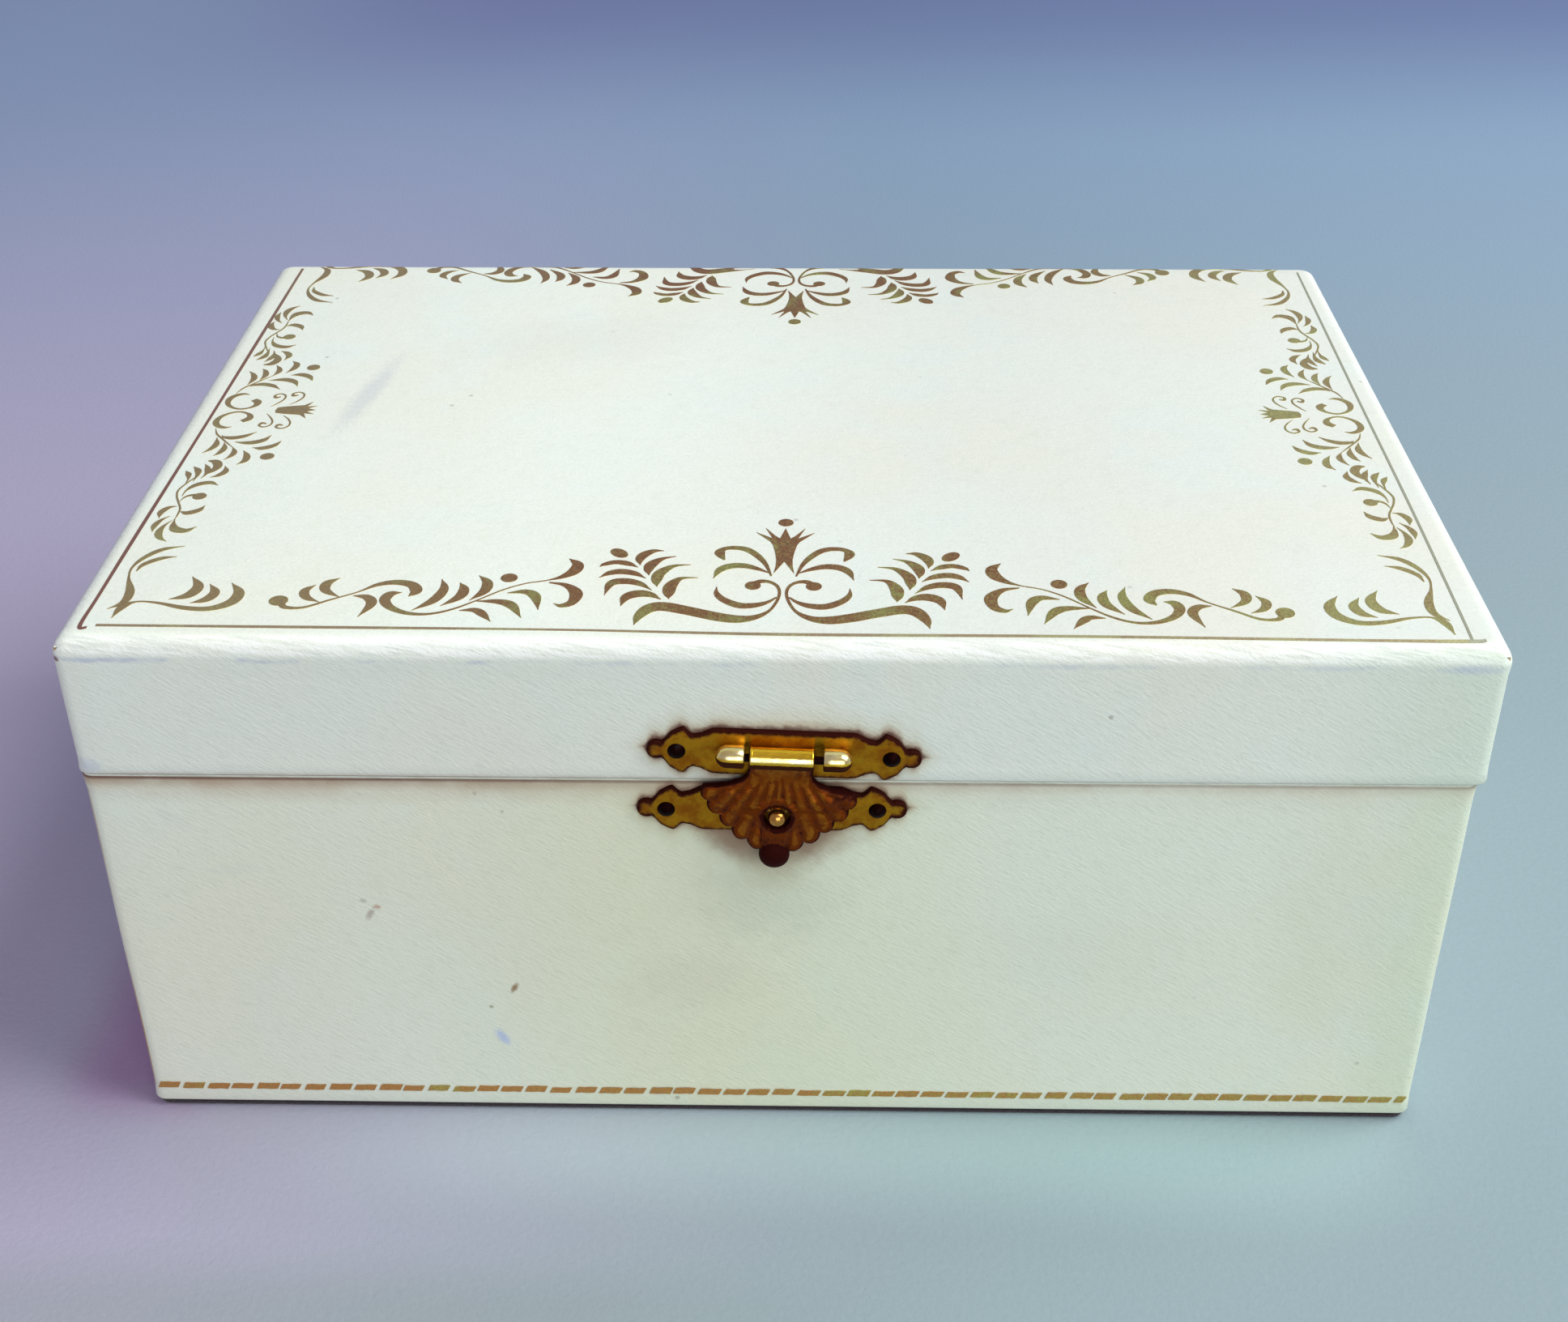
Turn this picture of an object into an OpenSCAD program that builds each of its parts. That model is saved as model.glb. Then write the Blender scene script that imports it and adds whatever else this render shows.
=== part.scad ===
// Jewellery box with a hinged lid, a scalloped hasp and a tray that rises as the lid opens.
// Millimetres. +X is to the right, +Y to the back, +Z up.
// The origin is on the table, under the middle of the box.

/* [Case] */
// Width of the lid, left to right
lid_w = 203; // [190:1:230]
// Depth of the lid, front to back
lid_d = 142; // [140:1:160]
// Height from the table to the top of the lid
case_h = 89; // [89:1:100]
// Height of the lid on its own
lid_h = 23; // [22:0.5:25]
// How far the lid stands out past the box on the right
overhang_x = 1; // [0.5:0.1:2]
// How much further out the box's left wall stands than its right one
left_out = 0.9; // [0:0.1:0.9]
// How far the lid stands out past the box at the front and back
overhang_y = 0.5; // [0.4:0.1:1]
// Gap between the closed lid and the box
seam_gap = 0.4; // [0.2:0.1:0.6]
// Radius of the lid's top edges
top_edge_r = 3; // [3:0.1:4]
// Radius of the upright corners
corner_r = 2; // [1.9:0.1:2]

/* [Materials of the case] */
// Thickness of the leatherette covering
cover_t = 0.7; // [0.5:0.1:0.8]
// Thickness of the wooden walls of the box
box_wall = 6; // [5:0.5:6]
// Thickness of the wooden rails of the lid
lid_wall = 7; // [6:0.5:7]
// Thickness of the lid's wooden top
lid_top_t = 4; // [3:0.5:5]
// Thickness of the wooden bottom
bottom_t = 3; // [2:0.5:4]
// Thickness of the wadding between the lid's top and its covering
wadding_t = 1; // [0.5:0.1:1]
// Thickness of the felt under the box
felt_t = 1.2; // [0.8:0.1:2]
// How far the felt is set in from the edge of the box
felt_inset = 0.5; // [0.3:0.1:8]
// Thickness of the velvet lining on its card
lining_t = 0.8; // [0.5:0.1:0.8]
// Thickness of the velvet pad on the floor of the box
floor_pad_t = 1.5; // [1:0.1:2]
// Thickness of the satin pad inside the lid
satin_t = 3; // [2:0.1:3]

/* [Inside the box] */
// Thickness of the velvet-covered dividers
divider_t = 2.5; // [1.5:0.1:3]
// Height of the dividers' top edge above the table
divider_top = 38; // [20:1:38]
// How far the two front dividers stand from the middle
front_divider_x = 31; // [20:1:45]
// Width of the mirror
mirror_w = 84; // [60:1:110]
// Depth of the mirror
mirror_d = 60; // [40:1:66]

/* [Tray] */
// Gap on each side of the tray, where the lifting arms lie
tray_gap = 3; // [3:0.1:4]
// Depth of the tray
tray_d = 80; // [76:1:80]
// Height of the tray's walls
tray_h = 24; // [22:1:24]
// Thickness of the tray's walls
tray_wall = 2.5; // [1.5:0.1:3]
// Number of ring rolls
ring_rolls_n = 4; // [1:1:4]
// Radius of one ring roll
ring_roll_r = 3.8; // [2:0.1:3.8]

/* [Tray lift] */
// Length of the lifting arms between their pivots
arm_length = 36; // [34:0.5:37]
// Angle of the arms below level when the lid is shut
arm_drop = 18; // [15:1:20]
// Width of the lifting arms
arm_w = 7; // [5:0.5:8]
// Thickness of the arms and brackets
arm_t = 1; // [0.6:0.1:1.2]

/* [Latch] */
// Width of the hasp's barrel
hasp_barrel_w = 9.2; // [7:0.1:10]
// Tilt of the upper plate and hasp, right side low, in degrees
latch_tilt = 2.2; // [0:0.1:3]
// Further lean of the hasp's blade from its barrel, in degrees
hasp_lean = 1.9; // [0:0.1:3]
// Thickness of the brass plates
plate_t = 0.8; // [0.6:0.1:0.9]
// Radius of the ball stud
stud_r = 1.35; // [1:0.05:1.4]
// Radius of the hole in the hasp
hasp_hole_r = 1.95; // [1.8:0.05:2.1]

/* [Hinges] */
// Distance of each hinge from the middle of the back
hinge_x = 60; // [40:1:75]
// Length of one hinge
hinge_len = 20.4; // [16:0.1:28]
// Radius of the hinge barrel
hinge_r = 1.9; // [1.7:0.1:2]
// Radius of the hinge pin
hinge_pin_r = 0.95; // [0.8:0.05:1]

/* [Hidden] */
$fn = 48;

// Colours
leatherette = [0.92, 0.94, 0.90];
wood = [0.80, 0.64, 0.42];
velvet = [0.48, 0.06, 0.12];
satin = [0.66, 0.16, 0.22];
felt = [0.20, 0.14, 0.20];
brass = [0.60, 0.44, 0.16];
old_brass = [0.30, 0.18, 0.08];
silver_glass = [0.80, 0.86, 0.90];

// Case: plan and heights
box_w = lid_w - 2*overhang_x;
box_d = lid_d - 2*overhang_y;
seam_top = case_h - lid_h;
rim_z = seam_top - seam_gap;
lid_half = [lid_w/2, lid_d/2];
box_half = [box_w/2, box_d/2];
box_wood = box_half - [cover_t, cover_t];
box_wood_left = -box_wood[0] - left_out;
lid_wood = lid_half - [cover_t, cover_t];
box_bay = box_wood - [box_wall, box_wall];
lid_bay = lid_wood - [lid_wall, lid_wall];
box_inside = box_bay - [lining_t, lining_t];
lid_inside = lid_bay - [lining_t, lining_t];
box_wood_z0 = felt_t + cover_t;
box_wood_z1 = rim_z - cover_t;
floor_wood_z = box_wood_z0 + bottom_t;
floor_z = floor_wood_z + floor_pad_t;
lid_rail_z0 = seam_top + cover_t;
lid_rail_z1 = case_h - cover_t - wadding_t - lid_top_t;
lid_panel_z1 = lid_rail_z1 + lid_top_t;
satin_z = lid_rail_z1 - satin_t;
fold_w = 11;          // width of the covering folded under the box
wadding_inset = 1.8;  // how far the wadding stops inside the wooden top

// Hinges
hinge_gap = 0.2;
hinge_axis = [lid_half[1] + hinge_r + hinge_gap, rim_z + seam_gap/2];
hinge_bore_r = hinge_pin_r + 0.05;
knuckle_end = 6;      // length of each outer knuckle
leaf_h = 14;
leaf_drop = 1.2;      // lower leaf's top edge below the axis
leaf_rise = 1.7;      // upper leaf's bottom edge above the axis
nail_r = 0.6;
nail_head_r = 1.5;
nail_len = 5;
leaf_nail_x = 6;
leaf_nail_z = 9;      // distance of a hinge nail from the axis
lower_nail_z = hinge_axis[1] - leaf_nail_z;
upper_nail_z = hinge_axis[1] + leaf_nail_z;
lower_leaf_y = box_half[1] + plate_t;
upper_leaf_y = lid_half[1] + plate_t;
knuckle_mid = hinge_len - 2*knuckle_end - 2*hinge_gap;

// Tray lift: every crank is the same arm, so that the tray stays level
arm_vector = [-arm_length*cos(arm_drop), -arm_length*sin(arm_drop)];
lid_pivot = hinge_axis + arm_vector;
box_pivot = hinge_axis - [48.9, 7.7];
tray_front_pivot = box_pivot + arm_vector;
pivot_r = 1.1;
pivot_clear = 0.06;
open_pivot_clear = 0.12;
rivet_head_r = 2;
tray_half = min(box_inside[0], lid_inside[0]) - tray_gap;
arm_x = tray_half + 1.3;         // inner face of the arms and brackets
bracket_pad_x = lid_inside[0];   // the bracket's pad lies on the lid's lining
bracket_pad = [hinge_axis[0] - 26.1, hinge_axis[0] - 13.1, seam_top + 3, seam_top + 12];
bracket_w = 8;
screw_r = 0.8;
screw_ys = [bracket_pad[0] + 3.5, bracket_pad[1] - 3.5];
screw_z = (bracket_pad[2] + bracket_pad[3])/2;
screw_end_x = lid_wood[0] - 2;
pivot_end_x = box_wood[0] - 1.5;

// Tray
tray_y1 = hinge_axis[0] - 13.1;
tray_y0 = tray_y1 - tray_d;
tray_z1 = rim_z - 1.6;
tray_z0 = tray_z1 - tray_h;
tray_floor_t = 2;
tray_pad_t = 1;
tray_floor_z = tray_z0 + tray_floor_t;
tray_pad_z = tray_floor_z + tray_pad_t;
tray_split_y = tray_y0 + 34;      // front face of the tray's long divider
tray_divider_t = 2;
tray_divider_top = tray_z1 - 4;
divider_gap = 0.2;
roll_pitch = 2*ring_roll_r + 0.3;
roll_x0 = -tray_half + tray_wall + 1.5;
roll_x1 = 30;
long_divider_y0 = tray_y0 - 0.5;
long_divider_y1 = long_divider_y0 + divider_t;

// Latch
latch_at = [0.95, rim_z + seam_gap/2 + 5.2];
catch_at = [-0.9, rim_z + seam_gap/2 - 4.8];
barrel_r = 1.6;
pin_rise = 0.6;                   // the pin lies this far above the middle of the upper plate
barrel_y = -lid_half[1] - plate_t - barrel_r - 0.15;
hasp_t = 0.9;
hasp_back_y = -lid_half[1] - plate_t - 0.25;
hasp_tilt = latch_tilt + hasp_lean;
hasp_slip = -0.3;                 // the hasp stands this far along its pin from the middle
hasp_at = latch_at + hasp_slip*[cos(latch_tilt), -sin(latch_tilt)];
stud_drop = 10.0;                 // hole and stud below the middle of the upper plate
stud_at = hasp_at + stud_drop*[-sin(hasp_tilt), -cos(hasp_tilt)];
latch_pin_r = 0.6;
latch_bore_r = latch_pin_r + 0.05;
lug_x = hasp_barrel_w/2 + 1;      // inner face of the lugs
lug_len = 2.4;
lug_foot = 1.1;                   // half height of the foot between a lug and its plate
plate_nail_x = 15.3;
plate_nail_head = 1.3;
stud_tail_r = 0.8;
stud_tail_y = -box_half[1] + 4;
lid_plate_y = -lid_half[1] - plate_t;      // front faces of the two latch plates
box_plate_y = -box_half[1] - plate_t;

// Mirror
mirror_t = 1;
mirror_y = hinge_axis[0] - 77.1;
frame_w = 3.5;
frame_t = 1.5;

// ---------------------------------------------------------------- shapes
module block(lo, hi) translate(lo) cube(hi - lo);

module rounded_rect(w, d, r) {
    square([w - 2*r, d], center = true);
    square([w, d - 2*r], center = true);
    for (x = [-1, 1], y = [-1, 1]) translate([x*(w/2 - r), y*(d/2 - r)]) circle(r);
}

// Plan of the box, set in from its outer faces
module box_plan(inset) translate([-left_out/2, 0])
    rounded_rect(box_w + left_out - 2*inset, box_d - 2*inset, corner_r);

// Upright profile with its two top corners rounded
module crowned_profile(w, z0, z1, r) {
    translate([-w/2, z0]) square([w, z1 - z0 - r]);
    translate([-w/2 + r, z0]) square([w - 2*r, z1 - z0]);
    for (x = [-1, 1]) translate([x*(w/2 - r), z1 - r]) circle(r);
}

module lid_form() {
    intersection() {
        translate([0, 0, seam_top]) linear_extrude(lid_h) rounded_rect(lid_w, lid_d, corner_r);
        rotate([90, 0, 0]) linear_extrude(lid_d, center = true)
            crowned_profile(lid_w, seam_top, case_h, top_edge_r);
        rotate([90, 0, 90]) linear_extrude(lid_w, center = true)
            crowned_profile(lid_d, seam_top, case_h, top_edge_r);
    }
}

// Rod along Y from y0 to y1
module rod_y(x, z, r, y0, y1) translate([x, y0, z]) rotate([-90, 0, 0]) cylinder(h = y1 - y0, r = r);
// Rod along X from x0 to x1
module rod_x(y, z, r, x0, x1) translate([x0, y, z]) rotate([0, 90, 0]) cylinder(h = x1 - x0, r = r);

// A flat outline drawn in X and Z, standing with its back on the plane y and growing to the front
module on_front(x, y, z, t, tilt = 0) translate([x, y, z]) rotate([0, tilt, 0])
    rotate([90, 0, 0]) linear_extrude(t) children();
// The children as drawn where s is 1, and mirrored left to right where s is -1
module sided(s) {
    if (s > 0) children();
    else mirror([1, 0, 0]) children();
}
// A flat outline drawn in Y and Z, between x and x + t
module on_side(x, t) translate([x, 0, 0]) rotate([90, 0, 90]) linear_extrude(t) children();

// Nail driven towards -y (dir = -1, from the back) or +y (dir = 1, from the front)
module nail(x, y, z, dir, head_r) {
    translate([x, y, z]) rotate([-90*dir, 0, 0]) {
        cylinder(h = nail_len, r = nail_r);
        intersection() {
            translate([0, 0, head_r*0.6]) sphere(head_r*1.17);
            translate([0, 0, -3]) cylinder(h = 3, r = head_r);
        }
    }
}

// ---------------------------------------------------------------- holes shared by several layers
function latch_nail_at(side) = latch_at + side*plate_nail_x*[cos(latch_tilt), -sin(latch_tilt)];
function catch_nail_at(side) = catch_at + [side*plate_nail_x, 0];

module latch_nail_holes() for (s = [-1, 1])
    rod_y(latch_nail_at(s)[0], latch_nail_at(s)[1], nail_r, lid_plate_y - 1.2, lid_plate_y + nail_len);
module catch_nail_holes() for (s = [-1, 1])
    rod_y(catch_nail_at(s)[0], catch_nail_at(s)[1], nail_r, box_plate_y - 1.2, box_plate_y + nail_len);
module stud_hole() rod_y(stud_at[0], stud_at[1], stud_tail_r, -box_half[1] - 2, stud_tail_y);
module hinge_nail_holes(y, z, r = nail_r) for (s = [-1, 1], n = [-1, 1])
    rod_y(s*hinge_x + n*leaf_nail_x, z, r, y - nail_len, y + 2);
module screw_holes(s) for (y = screw_ys) {
    x0 = s > 0 ? arm_x - 1 : -screw_end_x;
    rod_x(y, screw_z, screw_r, x0, x0 + screw_end_x - arm_x + 1);
}
module box_pivot_hole(s, r) rod_x(box_pivot[0], box_pivot[1], r,
    s > 0 ? arm_x - 1 : -pivot_end_x, s > 0 ? pivot_end_x : -arm_x + 1);

// ---------------------------------------------------------------- the box
module box_front_panel() color(wood) difference() {
    block([box_wood_left, -box_wood[1], box_wood_z0], [box_wood[0], -box_bay[1], box_wood_z1]);
    catch_nail_holes();
    stud_hole();
}
module box_back_panel() color(wood) difference() {
    block([box_wood_left, box_bay[1], box_wood_z0], [box_wood[0], box_wood[1], box_wood_z1]);
    hinge_nail_holes(lower_leaf_y, lower_nail_z);
}
module box_side_panel(s) color(wood) difference() {
    block([s > 0 ? box_bay[0] : box_wood_left, -box_bay[1], box_wood_z0],
          [s > 0 ? box_wood[0] : -box_bay[0], box_bay[1], box_wood_z1]);
    box_pivot_hole(s, pivot_r);
}
module box_left_panel() box_side_panel(-1);
module box_right_panel() box_side_panel(1);
module box_bottom_panel() color(wood)
    block([-box_bay[0], -box_bay[1], box_wood_z0], [box_bay[0], box_bay[1], floor_wood_z]);

// Leatherette glued round the four walls, over the rim and under the bottom edge
module box_covering() color(leatherette) difference() {
    translate([0, 0, felt_t]) linear_extrude(rim_z - felt_t) box_plan(0);
    block([box_wood_left, -box_wood[1], box_wood_z0], [box_wood[0], box_wood[1], box_wood_z1]);
    block([-box_bay[0], -box_bay[1], box_wood_z1 - 1], [box_bay[0], box_bay[1], rim_z + 1]);
    block([box_wood_left + fold_w, -box_wood[1] + fold_w, 0],
          [box_wood[0] - fold_w, box_wood[1] - fold_w, box_wood_z0 + 1]);
    catch_nail_holes();
    stud_hole();
    hinge_nail_holes(lower_leaf_y, lower_nail_z);
}
module base_felt() color(felt) linear_extrude(felt_t) box_plan(felt_inset);

module box_front_lining() color(velvet)
    block([-box_bay[0], -box_bay[1], floor_wood_z], [box_bay[0], -box_inside[1], rim_z]);
module box_back_lining() color(velvet)
    block([-box_bay[0], box_inside[1], floor_wood_z], [box_bay[0], box_bay[1], rim_z]);
module box_side_lining(s) color(velvet) difference() {
    block([s > 0 ? box_inside[0] : -box_bay[0], -box_inside[1], floor_wood_z],
          [s > 0 ? box_bay[0] : -box_inside[0], box_inside[1], rim_z]);
    box_pivot_hole(s, pivot_r);
}
module box_left_lining() box_side_lining(-1);
module box_right_lining() box_side_lining(1);
module floor_pad() color(velvet)
    block([-box_inside[0], -box_inside[1], floor_wood_z], [box_inside[0], box_inside[1], floor_z]);

// The long divider stands under the tray's front edge
module long_divider() color(velvet)
    block([-box_inside[0] + divider_gap, long_divider_y0, floor_z],
          [box_inside[0] - divider_gap, long_divider_y1, divider_top]);
module cross_dividers() color(velvet) {
    for (x = [-1, 1]*front_divider_x)
        block([x - divider_t/2, -box_inside[1] + divider_gap, floor_z],
              [x + divider_t/2, long_divider_y0 - divider_gap, divider_top]);
    block([-divider_t/2, long_divider_y1 + divider_gap, floor_z],
          [divider_t/2, box_inside[1] - divider_gap, divider_top]);
}

// ---------------------------------------------------------------- the latch
// Outline of both latch plates: a bar with a pierced, cusped ear and a round tip at each end
module latch_outline() {
    bar = [10.2, 3.8];
    neck = [13.2, 2.5];
    for (s = [-1, 1]) sided(s) {
        polygon([[0, -bar[1]], [bar[0], -bar[1]], [neck[0], -neck[1]],
                 [neck[0], neck[1]], [bar[0], bar[1]], [0, bar[1]]]);
        polygon([[neck[0] - 0.1, -neck[1]], [14.2, -3.9], [15.6, -3.3], [17.4, -1.5],
                 [17.4, 1.5], [15.6, 3.3], [14.2, 3.9], [neck[0] - 0.1, neck[1]]]);
        translate([plate_nail_x, 0]) circle(2.9);
        translate([17.9, 0]) circle(1.65);
    }
}

module catch_plate() color(brass) difference() {
    on_front(catch_at[0], -box_half[1], catch_at[1], plate_t) latch_outline();
    catch_nail_holes();
    stud_hole();
}
// Ball stud with a collar on the plate and a tail in the wood
module catch_stud() color(brass) translate([stud_at[0], 0, stud_at[1]]) rotate([90, 0, 0]) {
    collar = 0.3;
    plate_front = box_half[1] + plate_t;
    ball_y = -hasp_back_y + hasp_t + 0.2;
    translate([0, 0, -stud_tail_y]) cylinder(h = plate_front + stud_tail_y, r = stud_tail_r);
    translate([0, 0, plate_front]) cylinder(h = collar, r = stud_r + 0.2);
    translate([0, 0, plate_front]) cylinder(h = ball_y - plate_front, r = stud_r*0.7);
    translate([0, 0, ball_y]) sphere(stud_r);
}
module catch_nails() color(old_brass) for (s = [-1, 1])
    nail(catch_nail_at(s)[0], box_plate_y, catch_nail_at(s)[1], 1, plate_nail_head);
module latch_nails() color(old_brass) for (s = [-1, 1])
    nail(latch_nail_at(s)[0], lid_plate_y, latch_nail_at(s)[1], 1, plate_nail_head);

// The children moved to the axis of the latch's pin, along X
module on_latch_axis(at) translate([at[0], barrel_y, at[1]]) rotate([0, latch_tilt, 0])
    translate([0, 0, pin_rise]) children();

// Upper plate with the two bullet-ended lugs that hold the pin
module latch_plate() color(brass) difference() {
    union() {
        on_front(latch_at[0], -lid_half[1], latch_at[1], plate_t, latch_tilt) latch_outline();
        on_latch_axis(latch_at) for (s = [-1, 1]) sided(s) {
            rod_x(0, 0, barrel_r, lug_x, lug_x + lug_len);
            translate([lug_x + lug_len, 0, 0]) sphere(barrel_r);
            block([lug_x, 0, -lug_foot],
                  [lug_x + lug_len, lid_plate_y + plate_t/2 - barrel_y, lug_foot]);
        }
    }
    latch_nail_holes();
    on_latch_axis(latch_at) rod_x(0, 0, latch_pin_r, -lug_x - lug_len, lug_x + lug_len);
}
module latch_pin() color(brass)
    on_latch_axis(latch_at) rod_x(0, 0, latch_pin_r, -lug_x - lug_len, lug_x + lug_len);

// Right half of the hasp's outline; x from its middle, z down from the middle of the upper plate
module hasp_half_outline() {
    half = hasp_barrel_w/2;
    scallops = [[10.1, -6.6, 1.15], [8.6, -8.5, 1.65], [6.6, -10.6, 1.75],
                [4.7, -12.7, 1.75], [2.6, -14.4, 1.55]];
    polygon([[0, pin_rise], [half, pin_rise], [half, -2.8], [half + 0.9, -4.1], [half + 2.8, -5],
             [10.8, -5.6], [9.5, -7.9], [7.3, -10.5], [5, -13], [2.5, -14.9], [1.7, -17], [0, -17]]);
    for (p = scallops) translate([p[0], p[1]]) circle(p[2]);
    translate([0, -16.8]) circle(2.1);
}
module hasp() color(old_brass) difference() {
    union() {
        on_front(hasp_at[0], hasp_back_y, hasp_at[1], hasp_t, hasp_tilt)
            for (s = [-1, 1]) sided(s) hasp_half_outline();
        on_latch_axis(hasp_at) rod_x(0, 0, barrel_r, -hasp_barrel_w/2, hasp_barrel_w/2);
    }
    on_latch_axis(hasp_at) rod_x(0, 0, latch_bore_r, -hasp_barrel_w, hasp_barrel_w);
    rod_y(stud_at[0], stud_at[1], hasp_hole_r, hasp_back_y - 5, hasp_back_y + 1);
}

// ---------------------------------------------------------------- the hinges
// Outer knuckles and leaf on the box
module lower_leaf(s) color(brass) difference() {
    union() {
        block([s*hinge_x - hinge_len/2, box_half[1], hinge_axis[1] - leaf_h],
              [s*hinge_x + hinge_len/2, lower_leaf_y, hinge_axis[1] - leaf_drop]);
        for (k = [-1, 1]) {
            x = s*hinge_x + k*(hinge_len - knuckle_end)/2;
            rod_x(hinge_axis[0], hinge_axis[1], hinge_r, x - knuckle_end/2, x + knuckle_end/2);
            block([x - knuckle_end/2, box_half[1], hinge_axis[1] - hinge_r],
                  [x + knuckle_end/2, hinge_axis[0], hinge_axis[1] - leaf_drop]);
        }
    }
    rod_x(hinge_axis[0], hinge_axis[1], hinge_pin_r, s*hinge_x - hinge_len, s*hinge_x + hinge_len);
    hinge_nail_holes(lower_leaf_y, lower_nail_z);
}
// Middle knuckle and leaf on the lid
module upper_leaf(s) color(brass) difference() {
    x = s*hinge_x;
    union() {
        block([x - hinge_len/2, lid_half[1], hinge_axis[1] + leaf_rise],
              [x + hinge_len/2, upper_leaf_y, hinge_axis[1] + leaf_h]);
        rod_x(hinge_axis[0], hinge_axis[1], hinge_r, x - knuckle_mid/2, x + knuckle_mid/2);
        block([x - knuckle_mid/2, lid_half[1], hinge_axis[1] + 1],
              [x + knuckle_mid/2, hinge_axis[0], hinge_axis[1] + hinge_r]);
    }
    rod_x(hinge_axis[0], hinge_axis[1], hinge_bore_r, x - hinge_len, x + hinge_len);
    hinge_nail_holes(upper_leaf_y, upper_nail_z);
}
module hinge_pin(s) color(old_brass)
    rod_x(hinge_axis[0], hinge_axis[1], hinge_pin_r, s*hinge_x - hinge_len/2, s*hinge_x + hinge_len/2);
module hinge_left_lower_leaf() lower_leaf(-1);
module hinge_right_lower_leaf() lower_leaf(1);
module hinge_left_upper_leaf() upper_leaf(-1);
module hinge_right_upper_leaf() upper_leaf(1);
module hinge_left_pin() hinge_pin(-1);
module hinge_right_pin() hinge_pin(1);
module hinge_nails(y, z) color(old_brass) for (s = [-1, 1], n = [-1, 1])
    nail(s*hinge_x + n*leaf_nail_x, y, z, -1, nail_head_r);
module hinge_lower_nails() hinge_nails(lower_leaf_y, lower_nail_z);
module hinge_upper_nails() hinge_nails(upper_leaf_y, upper_nail_z);

// ---------------------------------------------------------------- the lid
module lid_front_rail() color(wood) difference() {
    block([-lid_wood[0], -lid_wood[1], lid_rail_z0], [lid_wood[0], -lid_bay[1], lid_rail_z1]);
    latch_nail_holes();
}
module lid_back_rail() color(wood) difference() {
    block([-lid_wood[0], lid_bay[1], lid_rail_z0], [lid_wood[0], lid_wood[1], lid_rail_z1]);
    hinge_nail_holes(upper_leaf_y, upper_nail_z);
}
module lid_side_rail(s) color(wood) difference() {
    block([s > 0 ? lid_bay[0] : -lid_wood[0], -lid_bay[1], lid_rail_z0],
          [s > 0 ? lid_wood[0] : -lid_bay[0], lid_bay[1], lid_rail_z1]);
    screw_holes(s);
}
module lid_left_rail() lid_side_rail(-1);
module lid_right_rail() lid_side_rail(1);
module lid_top_panel() color(wood)
    block([-lid_wood[0], -lid_wood[1], lid_rail_z1], [lid_wood[0], lid_wood[1], lid_panel_z1]);
module lid_wadding() color("white")
    block([-lid_wood[0] + wadding_inset, -lid_wood[1] + wadding_inset, lid_panel_z1],
          [lid_wood[0] - wadding_inset, lid_wood[1] - wadding_inset, lid_panel_z1 + wadding_t]);

// Leatherette over the top and down the four sides, folded under the rim
module lid_covering() color(leatherette) difference() {
    lid_form();
    block([-lid_wood[0], -lid_wood[1], lid_rail_z0], [lid_wood[0], lid_wood[1], lid_panel_z1]);
    block([-lid_wood[0] + wadding_inset, -lid_wood[1] + wadding_inset, lid_rail_z0],
          [lid_wood[0] - wadding_inset, lid_wood[1] - wadding_inset, lid_panel_z1 + wadding_t]);
    block([-lid_bay[0], -lid_bay[1], seam_top - 1], [lid_bay[0], lid_bay[1], lid_rail_z0 + 1]);
    latch_nail_holes();
    hinge_nail_holes(upper_leaf_y, upper_nail_z);
}

module lid_front_lining() color(velvet)
    block([-lid_bay[0], -lid_bay[1], seam_top], [lid_bay[0], -lid_inside[1], lid_rail_z1]);
module lid_back_lining() color(velvet)
    block([-lid_bay[0], lid_inside[1], seam_top], [lid_bay[0], lid_bay[1], lid_rail_z1]);
module lid_side_lining(s) color(velvet) difference() {
    block([s > 0 ? lid_inside[0] : -lid_bay[0], -lid_inside[1], seam_top],
          [s > 0 ? lid_bay[0] : -lid_inside[0], lid_inside[1], lid_rail_z1]);
    screw_holes(s);
}
module lid_left_lining() lid_side_lining(-1);
module lid_right_lining() lid_side_lining(1);
module lid_satin_pad() color(satin)
    block([-lid_inside[0], -lid_inside[1], satin_z], [lid_inside[0], lid_inside[1], lid_rail_z1]);

// Mirror in a mitred brass frame on the satin pad
module mirror_glass() color(silver_glass)
    block([-mirror_w/2, mirror_y - mirror_d/2, satin_z - mirror_t],
          [mirror_w/2, mirror_y + mirror_d/2, satin_z]);
module frame_strip(length) translate([0, 0, satin_z - frame_t]) linear_extrude(frame_t)
    polygon([[-length/2 + 0.05, 0], [length/2 - 0.05, 0],
             [length/2 + frame_w - 0.05, frame_w], [-length/2 - frame_w + 0.05, frame_w]]);
module mirror_frame() color(brass) translate([0, mirror_y, 0]) for (turn = [0, 90, 180, 270]) {
    across = turn % 180 == 0;
    rotate([0, 0, turn]) translate([0, (across ? mirror_d : mirror_w)/2, 0])
        frame_strip(across ? mirror_w : mirror_d);
}

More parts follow.
